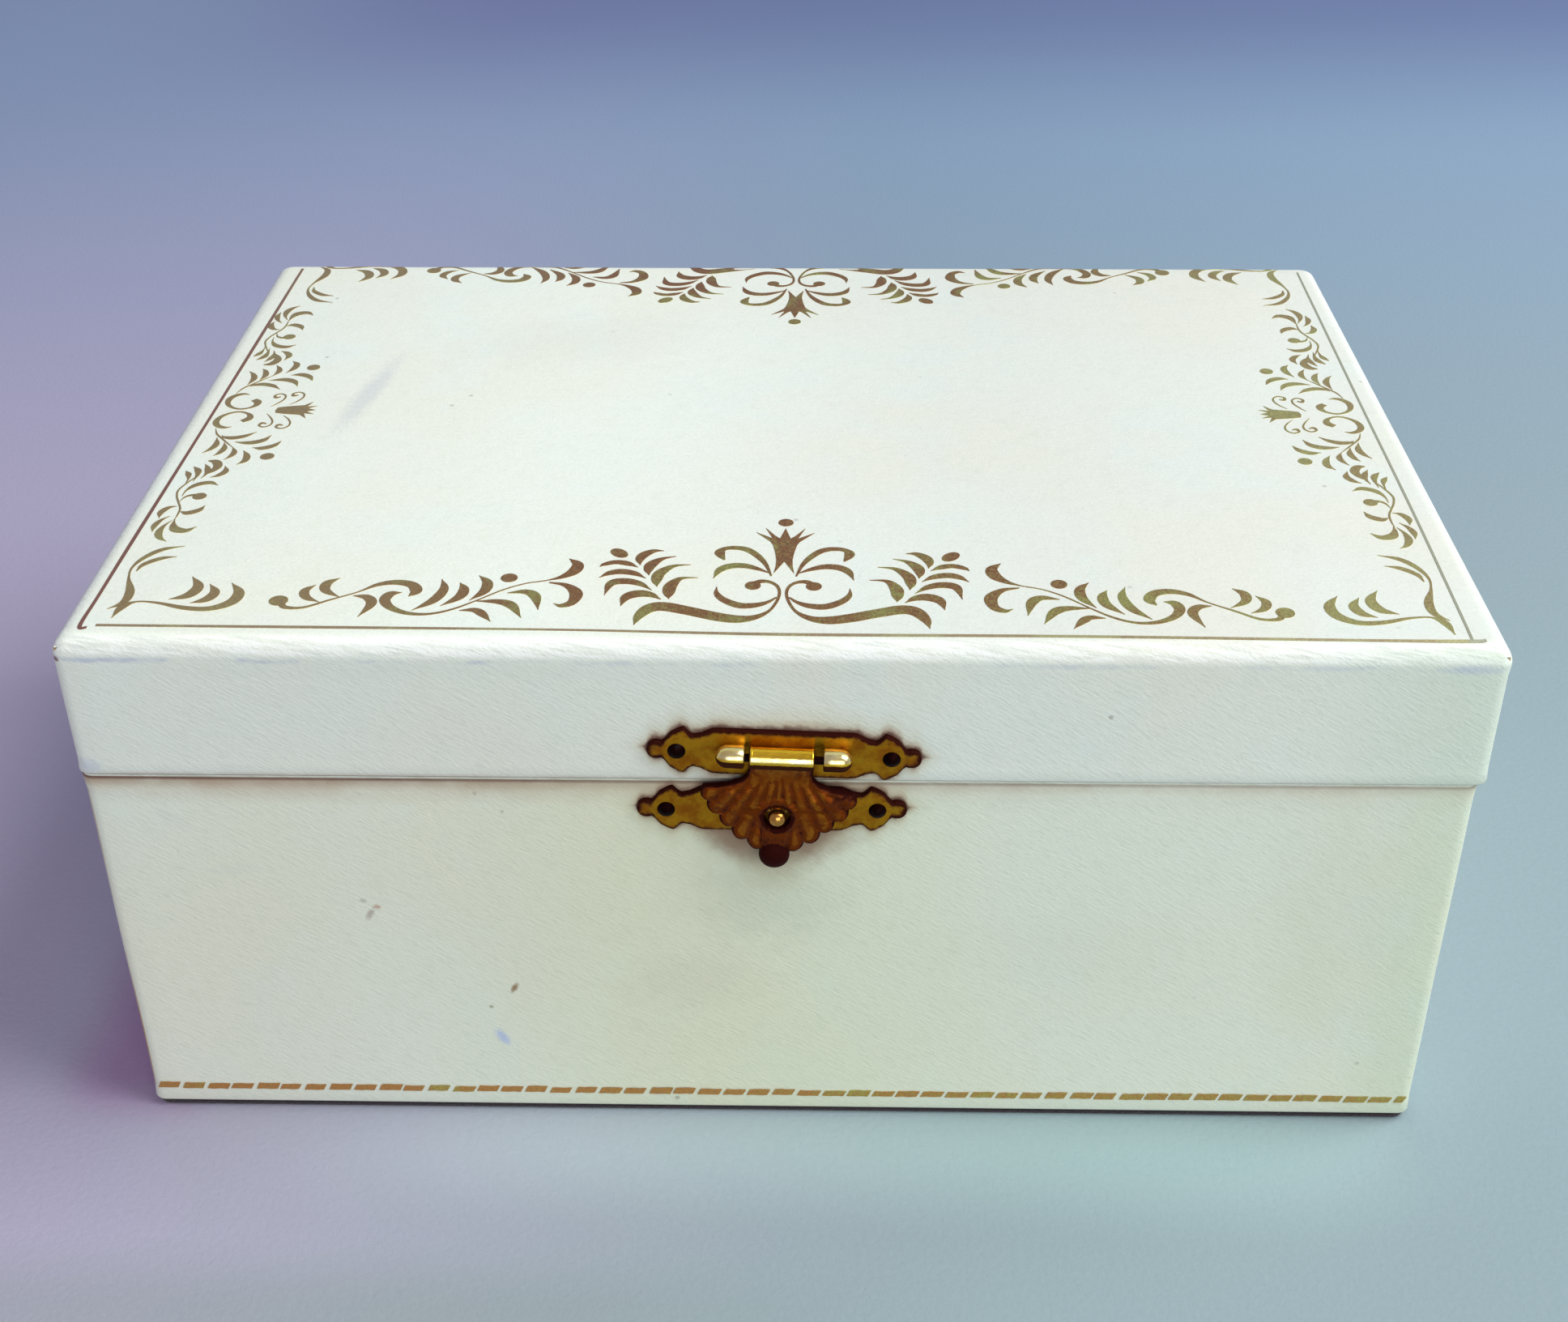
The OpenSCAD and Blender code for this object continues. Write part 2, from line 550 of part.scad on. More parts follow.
// ---------------------------------------------------------------- the tray lift
// Straight strap with wider round ends, from one pivot to another, in Y and Z
module strap(a, b, w) {
    run = b - a;
    waist = 0.85*w;
    translate(a) circle(w/2);
    translate(b) circle(w/2);
    translate(a) rotate(atan2(run[1], run[0])) translate([0, -waist/2]) square([norm(run), waist]);
}
module lift_bracket(s) color(brass) difference() {
    pad_mid = [(bracket_pad[0] + bracket_pad[1])/2, (bracket_pad[2] + bracket_pad[3])/2];
    union() {
        on_side(s > 0 ? arm_x : -arm_x - arm_t, arm_t) strap(lid_pivot, pad_mid, bracket_w);
        block([s > 0 ? arm_x : -bracket_pad_x, bracket_pad[0], bracket_pad[2]],
              [s > 0 ? bracket_pad_x : -arm_x, bracket_pad[1], bracket_pad[3]]);
    }
    rod_x(lid_pivot[0], lid_pivot[1], pivot_r + open_pivot_clear, -lid_w, lid_w);
    screw_holes(s);
}
module lift_bracket_left() lift_bracket(-1);
module lift_bracket_right() lift_bracket(1);
module lift_bracket_screws() color(old_brass) for (s = [-1, 1], y = screw_ys) sided(s) {
    rod_x(y, screw_z, screw_r, arm_x, screw_end_x);
    rod_x(y, screw_z, 1.7, arm_x - 0.6, arm_x);
}

module tray_arm(s) color(brass) difference() {
    on_side(s > 0 ? arm_x : -arm_x - arm_t, arm_t) strap(box_pivot, tray_front_pivot, arm_w);
    rod_x(box_pivot[0], box_pivot[1], pivot_r + pivot_clear, -lid_w, lid_w);
    rod_x(tray_front_pivot[0], tray_front_pivot[1], pivot_r + pivot_clear, -lid_w, lid_w);
}
module tray_arm_left() tray_arm(-1);
module tray_arm_right() tray_arm(1);

// Stepped stud in the box wall: tail, shoulder, journal and head
module arm_pivot(s) color(old_brass) sided(s) {
    rod_x(box_pivot[0], box_pivot[1], pivot_r, arm_x - 0.1, pivot_end_x);
    rod_x(box_pivot[0], box_pivot[1], rivet_head_r, arm_x + arm_t + 0.05, box_inside[0]);
    rod_x(box_pivot[0], box_pivot[1], rivet_head_r, arm_x - 0.6, arm_x - 0.05);
}
module arm_pivot_left() arm_pivot(-1);
module arm_pivot_right() arm_pivot(1);

// ---------------------------------------------------------------- the tray
module tray_floor() color(velvet)
    block([-tray_half + tray_wall, tray_y0 + tray_wall, tray_z0],
          [tray_half - tray_wall, tray_y1 - tray_wall, tray_floor_z]);
module tray_front_wall() color(velvet)
    block([-tray_half, tray_y0, tray_z0], [tray_half, tray_y0 + tray_wall, tray_z1]);
module tray_back_wall() color(velvet)
    block([-tray_half, tray_y1 - tray_wall, tray_z0], [tray_half, tray_y1, tray_z1]);
module tray_side_wall(s) color(velvet) difference() {
    block([s > 0 ? tray_half - tray_wall : -tray_half, tray_y0 + tray_wall, tray_z0],
          [s > 0 ? tray_half : -tray_half + tray_wall, tray_y1 - tray_wall, tray_z1]);
    for (p = [lid_pivot, tray_front_pivot]) rod_x(p[0], p[1], pivot_r, -lid_w, lid_w);
}
module tray_left_wall() tray_side_wall(-1);
module tray_right_wall() tray_side_wall(1);
module tray_pad() color(velvet)
    block([-tray_half + tray_wall, tray_y0 + tray_wall, tray_floor_z],
          [tray_half - tray_wall, tray_y1 - tray_wall, tray_pad_z]);
module tray_dividers() color(velvet) {
    inner = tray_half - tray_wall - divider_gap;
    back = tray_split_y + tray_divider_t + divider_gap;
    block([-inner, tray_split_y, tray_pad_z], [inner, tray_split_y + tray_divider_t, tray_divider_top]);
    for (x = [-1, 1]*front_divider_x)
        block([x - tray_divider_t/2, back, tray_pad_z],
              [x + tray_divider_t/2, tray_y1 - tray_wall - divider_gap, tray_divider_top]);
    block([roll_x1 + divider_gap, tray_y0 + tray_wall + divider_gap, tray_pad_z],
          [roll_x1 + divider_gap + tray_divider_t, tray_split_y - divider_gap, tray_divider_top]);
}
// Padded rolls that grip rings between them
module ring_rolls() color(velvet) for (i = [0 : ring_rolls_n - 1])
    rod_x(tray_split_y - ring_roll_r - 0.1 - i*roll_pitch, tray_pad_z + ring_roll_r, ring_roll_r,
          roll_x0, roll_x1);
module tray_rivets() color(old_brass) for (s = [-1, 1], p = [lid_pivot, tray_front_pivot]) sided(s) {
    rod_x(p[0], p[1], pivot_r, tray_half - tray_wall - 0.1, arm_x + arm_t + 0.1);
    rod_x(p[0], p[1], rivet_head_r, tray_half - tray_wall - 0.6, tray_half - tray_wall);
    rod_x(p[0], p[1], rivet_head_r, tray_half, arm_x - 0.05);
    rod_x(p[0], p[1], rivet_head_r, arm_x + arm_t + 0.05, arm_x + arm_t + 0.5);
}

box_front_panel();
box_back_panel();
box_left_panel();
box_right_panel();
box_bottom_panel();
box_covering();
base_felt();
box_front_lining();
box_back_lining();
box_left_lining();
box_right_lining();
floor_pad();
long_divider();
cross_dividers();
catch_plate();
catch_stud();
catch_nails();
hinge_left_lower_leaf();
hinge_right_lower_leaf();
hinge_left_pin();
hinge_right_pin();
hinge_lower_nails();
arm_pivot_left();
arm_pivot_right();
lid_front_rail();
lid_back_rail();
lid_left_rail();
lid_right_rail();
lid_top_panel();
lid_wadding();
lid_covering();
lid_front_lining();
lid_back_lining();
lid_left_lining();
lid_right_lining();
lid_satin_pad();
mirror_glass();
mirror_frame();
hinge_left_upper_leaf();
hinge_right_upper_leaf();
hinge_upper_nails();
latch_plate();
latch_pin();
latch_nails();
lift_bracket_left();
lift_bracket_right();
lift_bracket_screws();
hasp();
tray_arm_left();
tray_arm_right();
tray_floor();
tray_front_wall();
tray_back_wall();
tray_left_wall();
tray_right_wall();
tray_dividers();
ring_rolls();
tray_pad();
tray_rivets();
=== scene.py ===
"""Jewellery box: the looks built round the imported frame. Lengths are in millimetres until a mesh is made."""

import math
import random

import bmesh
import bpy
import numpy as np
from mathutils import Euler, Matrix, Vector, noise


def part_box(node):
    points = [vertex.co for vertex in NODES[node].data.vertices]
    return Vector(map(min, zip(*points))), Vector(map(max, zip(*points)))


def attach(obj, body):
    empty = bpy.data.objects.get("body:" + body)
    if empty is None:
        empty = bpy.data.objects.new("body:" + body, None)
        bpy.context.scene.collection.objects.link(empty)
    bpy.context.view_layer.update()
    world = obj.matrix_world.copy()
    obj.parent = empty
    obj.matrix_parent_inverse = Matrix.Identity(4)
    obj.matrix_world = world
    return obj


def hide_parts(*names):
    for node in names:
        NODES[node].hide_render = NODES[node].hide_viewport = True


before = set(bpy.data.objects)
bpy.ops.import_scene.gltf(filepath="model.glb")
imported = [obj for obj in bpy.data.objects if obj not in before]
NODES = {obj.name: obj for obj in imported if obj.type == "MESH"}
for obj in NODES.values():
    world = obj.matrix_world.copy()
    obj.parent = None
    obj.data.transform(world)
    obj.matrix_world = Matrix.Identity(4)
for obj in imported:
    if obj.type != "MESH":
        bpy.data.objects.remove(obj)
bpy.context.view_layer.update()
MM = 0.001


def box_mm(node):
    """Lowest and highest corner of a CAD node, in millimetres."""
    return [np.array(corner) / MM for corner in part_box(node)]


# ---------------------------------------------------------------- camera
CAMERA_AT = (0.00684, -0.3096, 0.2372)    # metres
CAMERA_TURN = (57.704, 0.291, 1.216)      # degrees about X, Y and Z
FOCAL_LENGTH, SENSOR_WIDTH = 46.91, 36

camera_data = bpy.data.cameras.new("camera")
camera_data.lens = FOCAL_LENGTH
camera_data.sensor_width = SENSOR_WIDTH
camera = bpy.data.objects.new("camera", camera_data)
camera.location = CAMERA_AT
camera.rotation_euler = Euler([math.radians(a) for a in CAMERA_TURN])
bpy.context.scene.collection.objects.link(camera)
bpy.context.scene.camera = camera


# ---------------------------------------------------------------- the latch's places, for dirt and pieces
LATCH_TILT = 2.2                          # degrees, right side down
LATCH_X, LATCH_Z = 0.95, 71.0             # middle of the plate on the lid
CATCH_X, CATCH_Z = -0.9, 61.0             # middle of the plate on the box
PLATE_HALF = 19.6                         # half the length of either plate
PLATE_REACH = 25.6                        # how far from its middle the outline below goes on
# Half height of a plate at a distance from its middle; below 0 beyond its tip
PLATE_OUTLINE = [
    (0, 3.8), (9.4, 3.8), (10.2, 3.74), (11.0, 3.35), (11.8, 2.9), (13.0, 2.65), (13.5, 2.95), (13.9, 3.4),
    (14.3, 3.85), (14.7, 3.75), (15.2, 3.5), (16.2, 2.85), (17.0, 1.75), (17.4, 1.35), (18.0, 1.5),
    (18.6, 1.45), (19.1, 1.15), (19.4, 0.75), (PLATE_HALF, 0.05), (PLATE_REACH, -5.95)]
# Dirt and painted shadow round a plate: distances from its outline where it ends and where it is full, its
# share and its colour; the last and darkest band is painted shadow with dirt along the outline
PLATE_DIRT_AND_SHADOW = [(5.0, 0.0, 0.32, (0.56, 0.50, 0.28)), (2.0, 0.2, 0.55, (0.42, 0.27, 0.16)),
              (0.9, 0.0, 0.85, (0.12, 0.03, 0.02))]


def plate_height(x):
    """Half height of a latch plate at a distance from its middle."""
    return float(np.interp(abs(x), [p[0] for p in PLATE_OUTLINE], [p[1] for p in PLATE_OUTLINE]))


# ---------------------------------------------------------------- materials
class Finish:
    """One procedural material. Positions are the object's own, in millimetres."""

    def __init__(self, name):
        self.material = bpy.data.materials.new(name)
        self.material.use_nodes = True
        self.tree = self.material.node_tree
        self.tree.nodes.clear()
        out = self.tree.nodes.new("ShaderNodeOutputMaterial")
        self.shader = self.tree.nodes.new("ShaderNodeBsdfPrincipled")
        self.tree.links.new(self.shader.outputs[0], out.inputs[0])
        coords = self.tree.nodes.new("ShaderNodeTexCoord")
        self.at = self.vector("SCALE", coords.outputs["Object"], 1 / MM)
        split = self.tree.nodes.new("ShaderNodeSeparateXYZ")
        self.tree.links.new(self.at, split.inputs[0])
        self.x, self.y, self.z = split.outputs
        facing = self.tree.nodes.new("ShaderNodeSeparateXYZ")
        self.tree.links.new(coords.outputs["Normal"], facing.inputs[0])
        self.nx, self.ny, self.nz = facing.outputs
        self.upright = self.ramp(self.math("ABSOLUTE", self.nz), 0.8, 0.5)

    def put(self, socket, value):
        """Links an output to a socket, or sets the socket to a number or colour."""
        if isinstance(value, bpy.types.NodeSocket):
            self.tree.links.new(value, socket)
        else:
            socket.default_value = value

    def set(self, **values):
        """Sets sockets of the shader by name, with _ for a space."""
        for key, value in values.items():
            if isinstance(value, tuple) and len(value) == 3:
                value = (*value, 1)
            self.put(self.shader.inputs[key.replace("_", " ")], value)

    def vector(self, operation, a, b):
        n = self.tree.nodes.new("ShaderNodeVectorMath")
        n.operation = operation
        self.put(n.inputs[0], a)
        self.put(n.inputs["Scale"] if operation == "SCALE" else n.inputs[1], b)
        return n.outputs["Value" if operation == "DOT_PRODUCT" else "Vector"]

    def math(self, operation, a, b=0.0):
        n = self.tree.nodes.new("ShaderNodeMath")
        n.operation = operation
        self.put(n.inputs[0], a)
        self.put(n.inputs[1], b)
        return n.outputs[0]

    def ramp(self, value, start, end, low=0.0, high=1.0):
        """Smooth step of value from start to end, giving low to high."""
        n = self.tree.nodes.new("ShaderNodeMapRange")
        n.interpolation_type = "SMOOTHSTEP"
        for socket, v in zip(n.inputs[:5], (value, start, end, low, high)):
            self.put(socket, v)
        return n.outputs[0]

    def noise(self, scale, detail=2.0, rough=0.5, at=None, shift=0.0):
        """Noise of about scale features per millimetre."""
        n = self.tree.nodes.new("ShaderNodeTexNoise")
        n.noise_dimensions = "4D"
        self.put(n.inputs["Vector"], self.at if at is None else at)
        n.inputs["W"].default_value = shift
        n.inputs["Scale"].default_value = scale
        n.inputs["Detail"].default_value = detail
        n.inputs["Roughness"].default_value = rough
        return n.outputs[0]

    def cells(self, scale):
        """Distance to the nearest of scattered points, about scale of them per millimetre."""
        n = self.tree.nodes.new("ShaderNodeTexVoronoi")
        self.put(n.inputs["Vector"], self.at)
        n.inputs["Scale"].default_value = scale
        return n.outputs["Distance"]

    def stretched(self, along, across, stretch):
        """Coordinates squeezed along a direction, so that a noise on them draws streaks that way."""
        third = np.cross(along, across)
        n = self.tree.nodes.new("ShaderNodeCombineXYZ")
        axes = (np.array(along) * stretch, across, third)
        for socket, axis in zip(n.inputs, axes):
            self.put(socket, self.vector("DOT_PRODUCT", self.at, tuple(float(v) for v in axis)))
        return n.outputs[0]

    def blend(self, factor, a, b, kind="MIX"):
        """Colour a where factor is 0, and b where it is 1."""
        n = self.tree.nodes.new("ShaderNodeMix")
        n.data_type = "RGBA"
        n.blend_type = kind
        self.put(n.inputs[0], factor)
        for socket, v in ((n.inputs[6], a), (n.inputs[7], b)):
            self.put(socket, (*v, 1) if isinstance(v, tuple) and len(v) == 3 else v)
        return n.outputs[2]

    def tint(self, factor, colour, by):
        """Colour multiplied by another, as far as factor says."""
        return self.blend(factor, colour, by, "MULTIPLY")

    def value(self, factor, a, b):
        """Number a where factor is 0, and b where it is 1."""
        n = self.tree.nodes.new("ShaderNodeMix")
        self.put(n.inputs[0], factor)
        self.put(n.inputs[2], a)
        self.put(n.inputs[3], b)
        return n.outputs[0]

    def add(self, *values):
        total = values[0]
        for v in values[1:]:
            total = self.math("ADD", total, v)
        return total

    def times(self, *values):
        total = values[0]
        for v in values[1:]:
            total = self.math("MULTIPLY", total, v)
        return total

    def bump(self, height, depth_mm):
        """Bump from a height of 0 to 1 that is depth_mm deep."""
        n = self.tree.nodes.new("ShaderNodeBump")
        n.inputs["Distance"].default_value = depth_mm * MM
        self.put(n.inputs["Height"], height)
        return n.outputs[0]

    def attribute(self, name):
        """Number stored on the mesh's points."""
        n = self.tree.nodes.new("ShaderNodeAttribute")
        n.attribute_name = name
        return n.outputs["Fac"]

    def towards(self, axis):
        """1 where a direction points clearly below zero on an axis, such as ny on the front."""
        return self.ramp(axis, -0.4, -0.7)

    def round_plate(self, colour, centre, tilt):
        """Dirt and painted shadow on the front that follow the outline of a latch plate."""
        c, s = math.cos(math.radians(tilt)), math.sin(math.radians(tilt))
        offset = self.vector("SUBTRACT", self.at, (centre[0], 0, centre[1]))
        along = self.math("ABSOLUTE", self.vector("DOT_PRODUCT", offset, (c, 0, -s)))
        across = self.math("ABSOLUTE", self.vector("DOT_PRODUCT", offset, (s, 0, c)))
        outline = self.tree.nodes.new("ShaderNodeFloatCurve")
        rise, low = 10.0, 0.6             # the curve holds low + height / rise, from 0 to 1
        steps = 40
        curve = outline.mapping.curves[0]
        for k in range(1, steps):
            x = PLATE_REACH * k / steps
            curve.points.new(x / PLATE_REACH, low + plate_height(x) / rise)
        curve.points[0].location = (0, low + plate_height(0) / rise)
        curve.points[-1].location = (1, low + plate_height(PLATE_REACH) / rise)
        outline.mapping.update()
        self.put(outline.inputs["Value"], self.times(along, 1 / PLATE_REACH))
        gap = self.math("SUBTRACT", across, self.times(self.add(outline.outputs[0], -low), rise))
        gap = self.add(gap, self.times(self.noise(0.5, 3.0, 0.6), 1.6), -0.8)
        front = self.towards(self.ny)
        for end, full, share, dirt_and_shade in PLATE_DIRT_AND_SHADOW:
            colour = self.blend(self.times(self.ramp(gap, end, full, 0, share), front), colour, dirt_and_shade)
        return colour

    def spot(self, centre, radii, turn, soft, ragged, plane):
        """1 inside an ellipse on the front (plane xz) or the top (xy), fading to 0 with a ragged edge."""
        along, up = math.cos(math.radians(turn)), math.sin(math.radians(turn))
        if plane == "xz":
            first, second, middle = (along, 0, up), (-up, 0, along), (centre[0], 0, centre[1])
            facing = self.ny
        else:
            first, second, middle = (along, up, 0), (-up, along, 0), (centre[0], centre[1], 0)
            facing = self.times(self.nz, -1.0)
        offset = self.vector("SUBTRACT", self.at, middle)
        u = self.times(self.vector("DOT_PRODUCT", offset, first), 1 / radii[0])
        v = self.times(self.vector("DOT_PRODUCT", offset, second), 1 / radii[1])
        distance = self.math("SQRT", self.add(self.times(u, u), self.times(v, v)))
        unevenness = self.math("SUBTRACT", self.noise(2.2 / max(radii[1], 1.2), 3.0, 0.6), 0.5)
        edge = self.times(unevenness, ragged * 2)
        inside = self.ramp(self.add(distance, edge), 1 + soft, 1 - soft)
        return self.times(inside, self.towards(facing))


GRAIN_SLANT = 32                          # degrees, down to the right on the front


def leatherette(name, marks):
    """White leatherette with a slanting brushed grain. marks(f, colour) adds the stains of one piece."""
    f = Finish(name)
    slant = math.radians(GRAIN_SLANT)
    c, s = math.cos(slant), math.sin(slant)
    grain = []
    for along, across in (((c, 0, -s), (s, 0, c)), ((0, c, -s), (0, s, c)), ((c, -s, 0), (s, c, 0))):
        at = f.stretched(along, across, 0.2)
        grain.append((f.noise(2.1, 3.0, 0.66, at), f.noise(5.0, 2.0, 0.55, at, 3.0)))
    is_side = f.ramp(f.math("ABSOLUTE", f.nx), 0.55, 0.8)
    is_top = f.ramp(f.math("ABSOLUTE", f.nz), 0.55, 0.8)
    coarse, fine = [f.value(is_top, f.value(is_side, g[0], g[1]), g[2]) for g in zip(*grain)]
    rounded = f.times(f.ramp(f.nz, 0.1, 0.35), f.ramp(f.nz, 0.99, 0.9))

    # Ground: a slow change of tone, cooler patches, mottling, and the grain's dark and light
    colour = f.blend(f.ramp(f.noise(0.022, 2.0), 0.35, 0.65), (0.79, 0.83, 0.765), (0.80, 0.81, 0.72))
    cool = f.ramp(f.noise(0.05, 3.0, 0.6, None, 7.0), 0.5, 0.72, 0, 0.55)
    colour = f.blend(cool, colour, (0.76, 0.83, 0.80))
    mottle = f.ramp(f.noise(0.4, 4.0, 0.65, None, 2.0), 0.45, 0.75, 0, 0.16)
    colour = f.blend(mottle, colour, (0.62, 0.66, 0.55))
    colour = f.blend(f.ramp(coarse, 0.50, 0.72, 0, 0.20), colour, (0.52, 0.56, 0.50))
    colour = f.blend(f.ramp(fine, 0.54, 0.70, 0, 0.22), colour, (0.93, 0.96, 0.93))
    # Rounded edges, pale and bluish in streaks: rubbed wear, the pale streaks also a painted highlight where
    # the edge turns to the light
    worn_way = f.stretched((0.985, -0.12, -0.12), (0.17, 0.70, 0.70), 0.075)
    rubbed = f.math("MAXIMUM", f.noise(0.9, 4.0, 0.68, worn_way, 5.0), f.noise(2.2, 3.0, 0.6, worn_way, 6.0))
    colour = f.blend(f.times(rounded, f.ramp(rubbed, 0.60, 0.50), 0.65), colour, (0.94, 0.96, 0.95))
    colour = f.blend(f.times(rounded, f.ramp(rubbed, 0.57, 0.70), 0.38), colour, (0.58, 0.64, 0.69))
    # Scattered specks, then the marks of this piece
    where = f.ramp(f.noise(0.05, 2.0, 0.5, None, 9.0), 0.54, 0.64)
    specks = f.times(f.ramp(f.cells(0.16), 0.08, 0.04), where)
    colour = f.blend(f.times(specks, 0.55), colour, (0.30, 0.26, 0.22))
    colour = marks(f, colour)

    pebble = f.cells(1.7)
    height = f.add(f.times(coarse, 0.55), f.times(fine, 0.25), f.times(pebble, 0.10))
    f.set(Base_Color=colour, Roughness=f.ramp(coarse, 0.35, 0.7, 0.5, 0.68), Specular_IOR_Level=0.42,
          Normal=f.bump(height, 0.19))
    return f.material


# Marks: centre, radii, turn in degrees, softness, raggedness, share and colour
LID_TOP_MARKS = [
    ((-72.0, 9.0), (11.8, 1.7), 80, 0.75, 0.9, 0.36, (0.50, 0.56, 0.66)),
    ((-38.0, 34.0), (20.0, 9.0), 12, 0.8, 0.8, 0.12, (0.55, 0.62, 0.60))]
LID_FRONT_MARKS = [
    ((-99.3, 67.6), (1.6, 1.1), 0, 0.7, 0.9, 0.5, (0.50, 0.55, 0.70)),
    ((96, 85.6), (4, 0.7), 0, 0.7, 0.9, 0.5, (0.50, 0.55, 0.70))]
LID_CORNER_MARKS = [((-100.75, 85.6), (0.5, 0.4), 0, 0.5, 0.5, 0.85, (0.20, 0.09, 0.11))]
BOX_MARKS = [
    # brown stain and rust under the hasp, darkened along the hasp's lower edges as painted shadow, and what
    # has run down from it
    ((0.0, 57.0), (9.5, 6.5), 0, 0.45, 0.25, 0.75, (0.30, 0.165, 0.10)),
    ((-6.0, 54.6), (7.0, 2.4), -35, 0.75, 0.4, 0.65, (0.22, 0.11, 0.06)),
    ((4.6, 54.6), (4.0, 1.6), 50, 0.75, 0.4, 0.5, (0.22, 0.11, 0.06)),
    ((-0.8, 49.3), (3.6, 3.0), 0, 0.8, 0.5, 0.45, (0.50, 0.45, 0.29)),
    ((-1.5, 44.0), (7.5, 9.0), 80, 0.8, 0.8, 0.30, (0.46, 0.50, 0.38)),
    # small flecks on the left half
    ((-61.8, 40.2), (1.1, 0.45), 60, 0.6, 0.8, 0.6, (0.36, 0.30, 0.26)),
    ((-60.6, 41.6), (0.55, 0.4), 0, 0.6, 0.8, 0.6, (0.45, 0.2, 0.12)),
    ((-62.6, 42.8), (0.5, 0.4), 0, 0.6, 0.8, 0.5, (0.40, 0.36, 0.30)),
    ((-41.0, 25.8), (0.95, 0.4), 60, 0.6, 0.8, 0.9, (0.30, 0.18, 0.08)),
    ((-44.9, 21.9), (0.35, 0.3), 0, 0.6, 0.8, 0.7, (0.3, 0.32, 0.2)),
    ((-43.6, 15.6), (1.6, 0.75), -60, 0.6, 0.8, 0.7, (0.42, 0.52, 0.82)),
    # broad faint patches: two bluish smudges on the left, then three soft yellowish ones
    ((-81.0, 48.5), (4.0, 0.9), 5, 0.6, 0.8, 0.08, (0.46, 0.52, 0.62)),
    ((-89.0, 57.5), (3.0, 1.2), -35, 0.6, 0.8, 0.08, (0.50, 0.57, 0.66)),
    ((-13.0, 28.0), (9.0, 5.0), 10, 0.6, 0.8, 0.2, (0.62, 0.55, 0.42)),
    ((83.0, 42.0), (9.0, 22.0), 0, 0.6, 0.8, 0.2, (0.60, 0.62, 0.44)),
    ((46.0, 34.0), (15.0, 7.0), 0, 0.6, 0.8, 0.10, (0.58, 0.60, 0.46))]
# Darkest line of the seam between lid and box: painted shadow under the lid's edge, with some dirt
SEAM_SHADE_AND_DIRT = (0.16, 0.075, 0.055)


def add_marks(f, colour, marks, plane="xz"):
    """Adds a table of marks to the front (plane xz) or the top (plane xy)."""
    for centre, radii, turn, soft, ragged, share, tint in marks:
        mark = f.spot(centre, radii, turn, soft, ragged, plane)
        colour = f.blend(f.times(mark, share), colour, tint)
    return colour


def leftward(f, right, left, low, high):
    """Number that grows unevenly from low at the right to high at the left."""
    return f.ramp(f.add(f.x, f.times(f.noise(0.06), 120.0)), right, left, low, high)


def lid_marks(f, colour):
    """Marks on the lid: painted light on the left of its top and painted shade at the right end of its front,
    smudges, the worn fold, and dirt and painted shadow at the latch and the seam.
    """
    # Painted light: the top paler towards the left
    painted_light_left = f.times(f.ramp(f.nz, 0.6, 0.95), f.ramp(f.x, 45.0, -45.0))
    colour = f.tint(painted_light_left, colour, (1.15, 1.165, 1.14))
    # Painted shade: the front darker towards its right end
    painted_shade_right = f.times(f.towards(f.ny), f.ramp(f.x, 68.0, 100.0))
    colour = f.tint(painted_shade_right, colour, (0.88, 0.93, 0.88))
    colour = add_marks(f, colour, LID_TOP_MARKS, "xy")
    colour = add_marks(f, colour, LID_FRONT_MARKS)
    uneven = f.times(f.noise(0.35, 4.0, 0.7), 1.2)
    fold = f.ramp(f.math("ABSOLUTE", f.add(f.z, -86.3, uneven)), 0.7, 0.1)
    patches = f.ramp(f.noise(0.13, 4.0, 0.7, f.stretched((1, 0, 0), (0, 0, 1), 0.6), 6.0), 0.44, 0.60)
    worn = f.times(fold, patches, f.ramp(f.x, 60.0, -60.0, 0.35, 0.75))
    colour = f.blend(worn, colour, (0.50, 0.55, 0.68))
    colour = f.round_plate(colour, (LATCH_X, LATCH_Z), LATCH_TILT)
    colour = add_marks(f, colour, LID_CORNER_MARKS)
    # Dirt and painted shadow along the lid's lower edge at the seam, heavier to the left
    rim = f.times(f.ramp(f.z, 67.0, 66.1), f.ramp(f.noise(0.12, 2.0), 0.35, 0.6, 0.15, 0.5),
                  f.ramp(f.x, 60, -60, 0.4, 1.0), f.upright)
    colour = f.blend(rim, colour, (0.40, 0.28, 0.22))
    dirt_and_shade = f.times(f.ramp(f.z, 66.42, 66.12), leftward(f, 150.0, -20.0, 0.35, 0.8), f.upright)
    return f.blend(dirt_and_shade, colour, SEAM_SHADE_AND_DIRT)


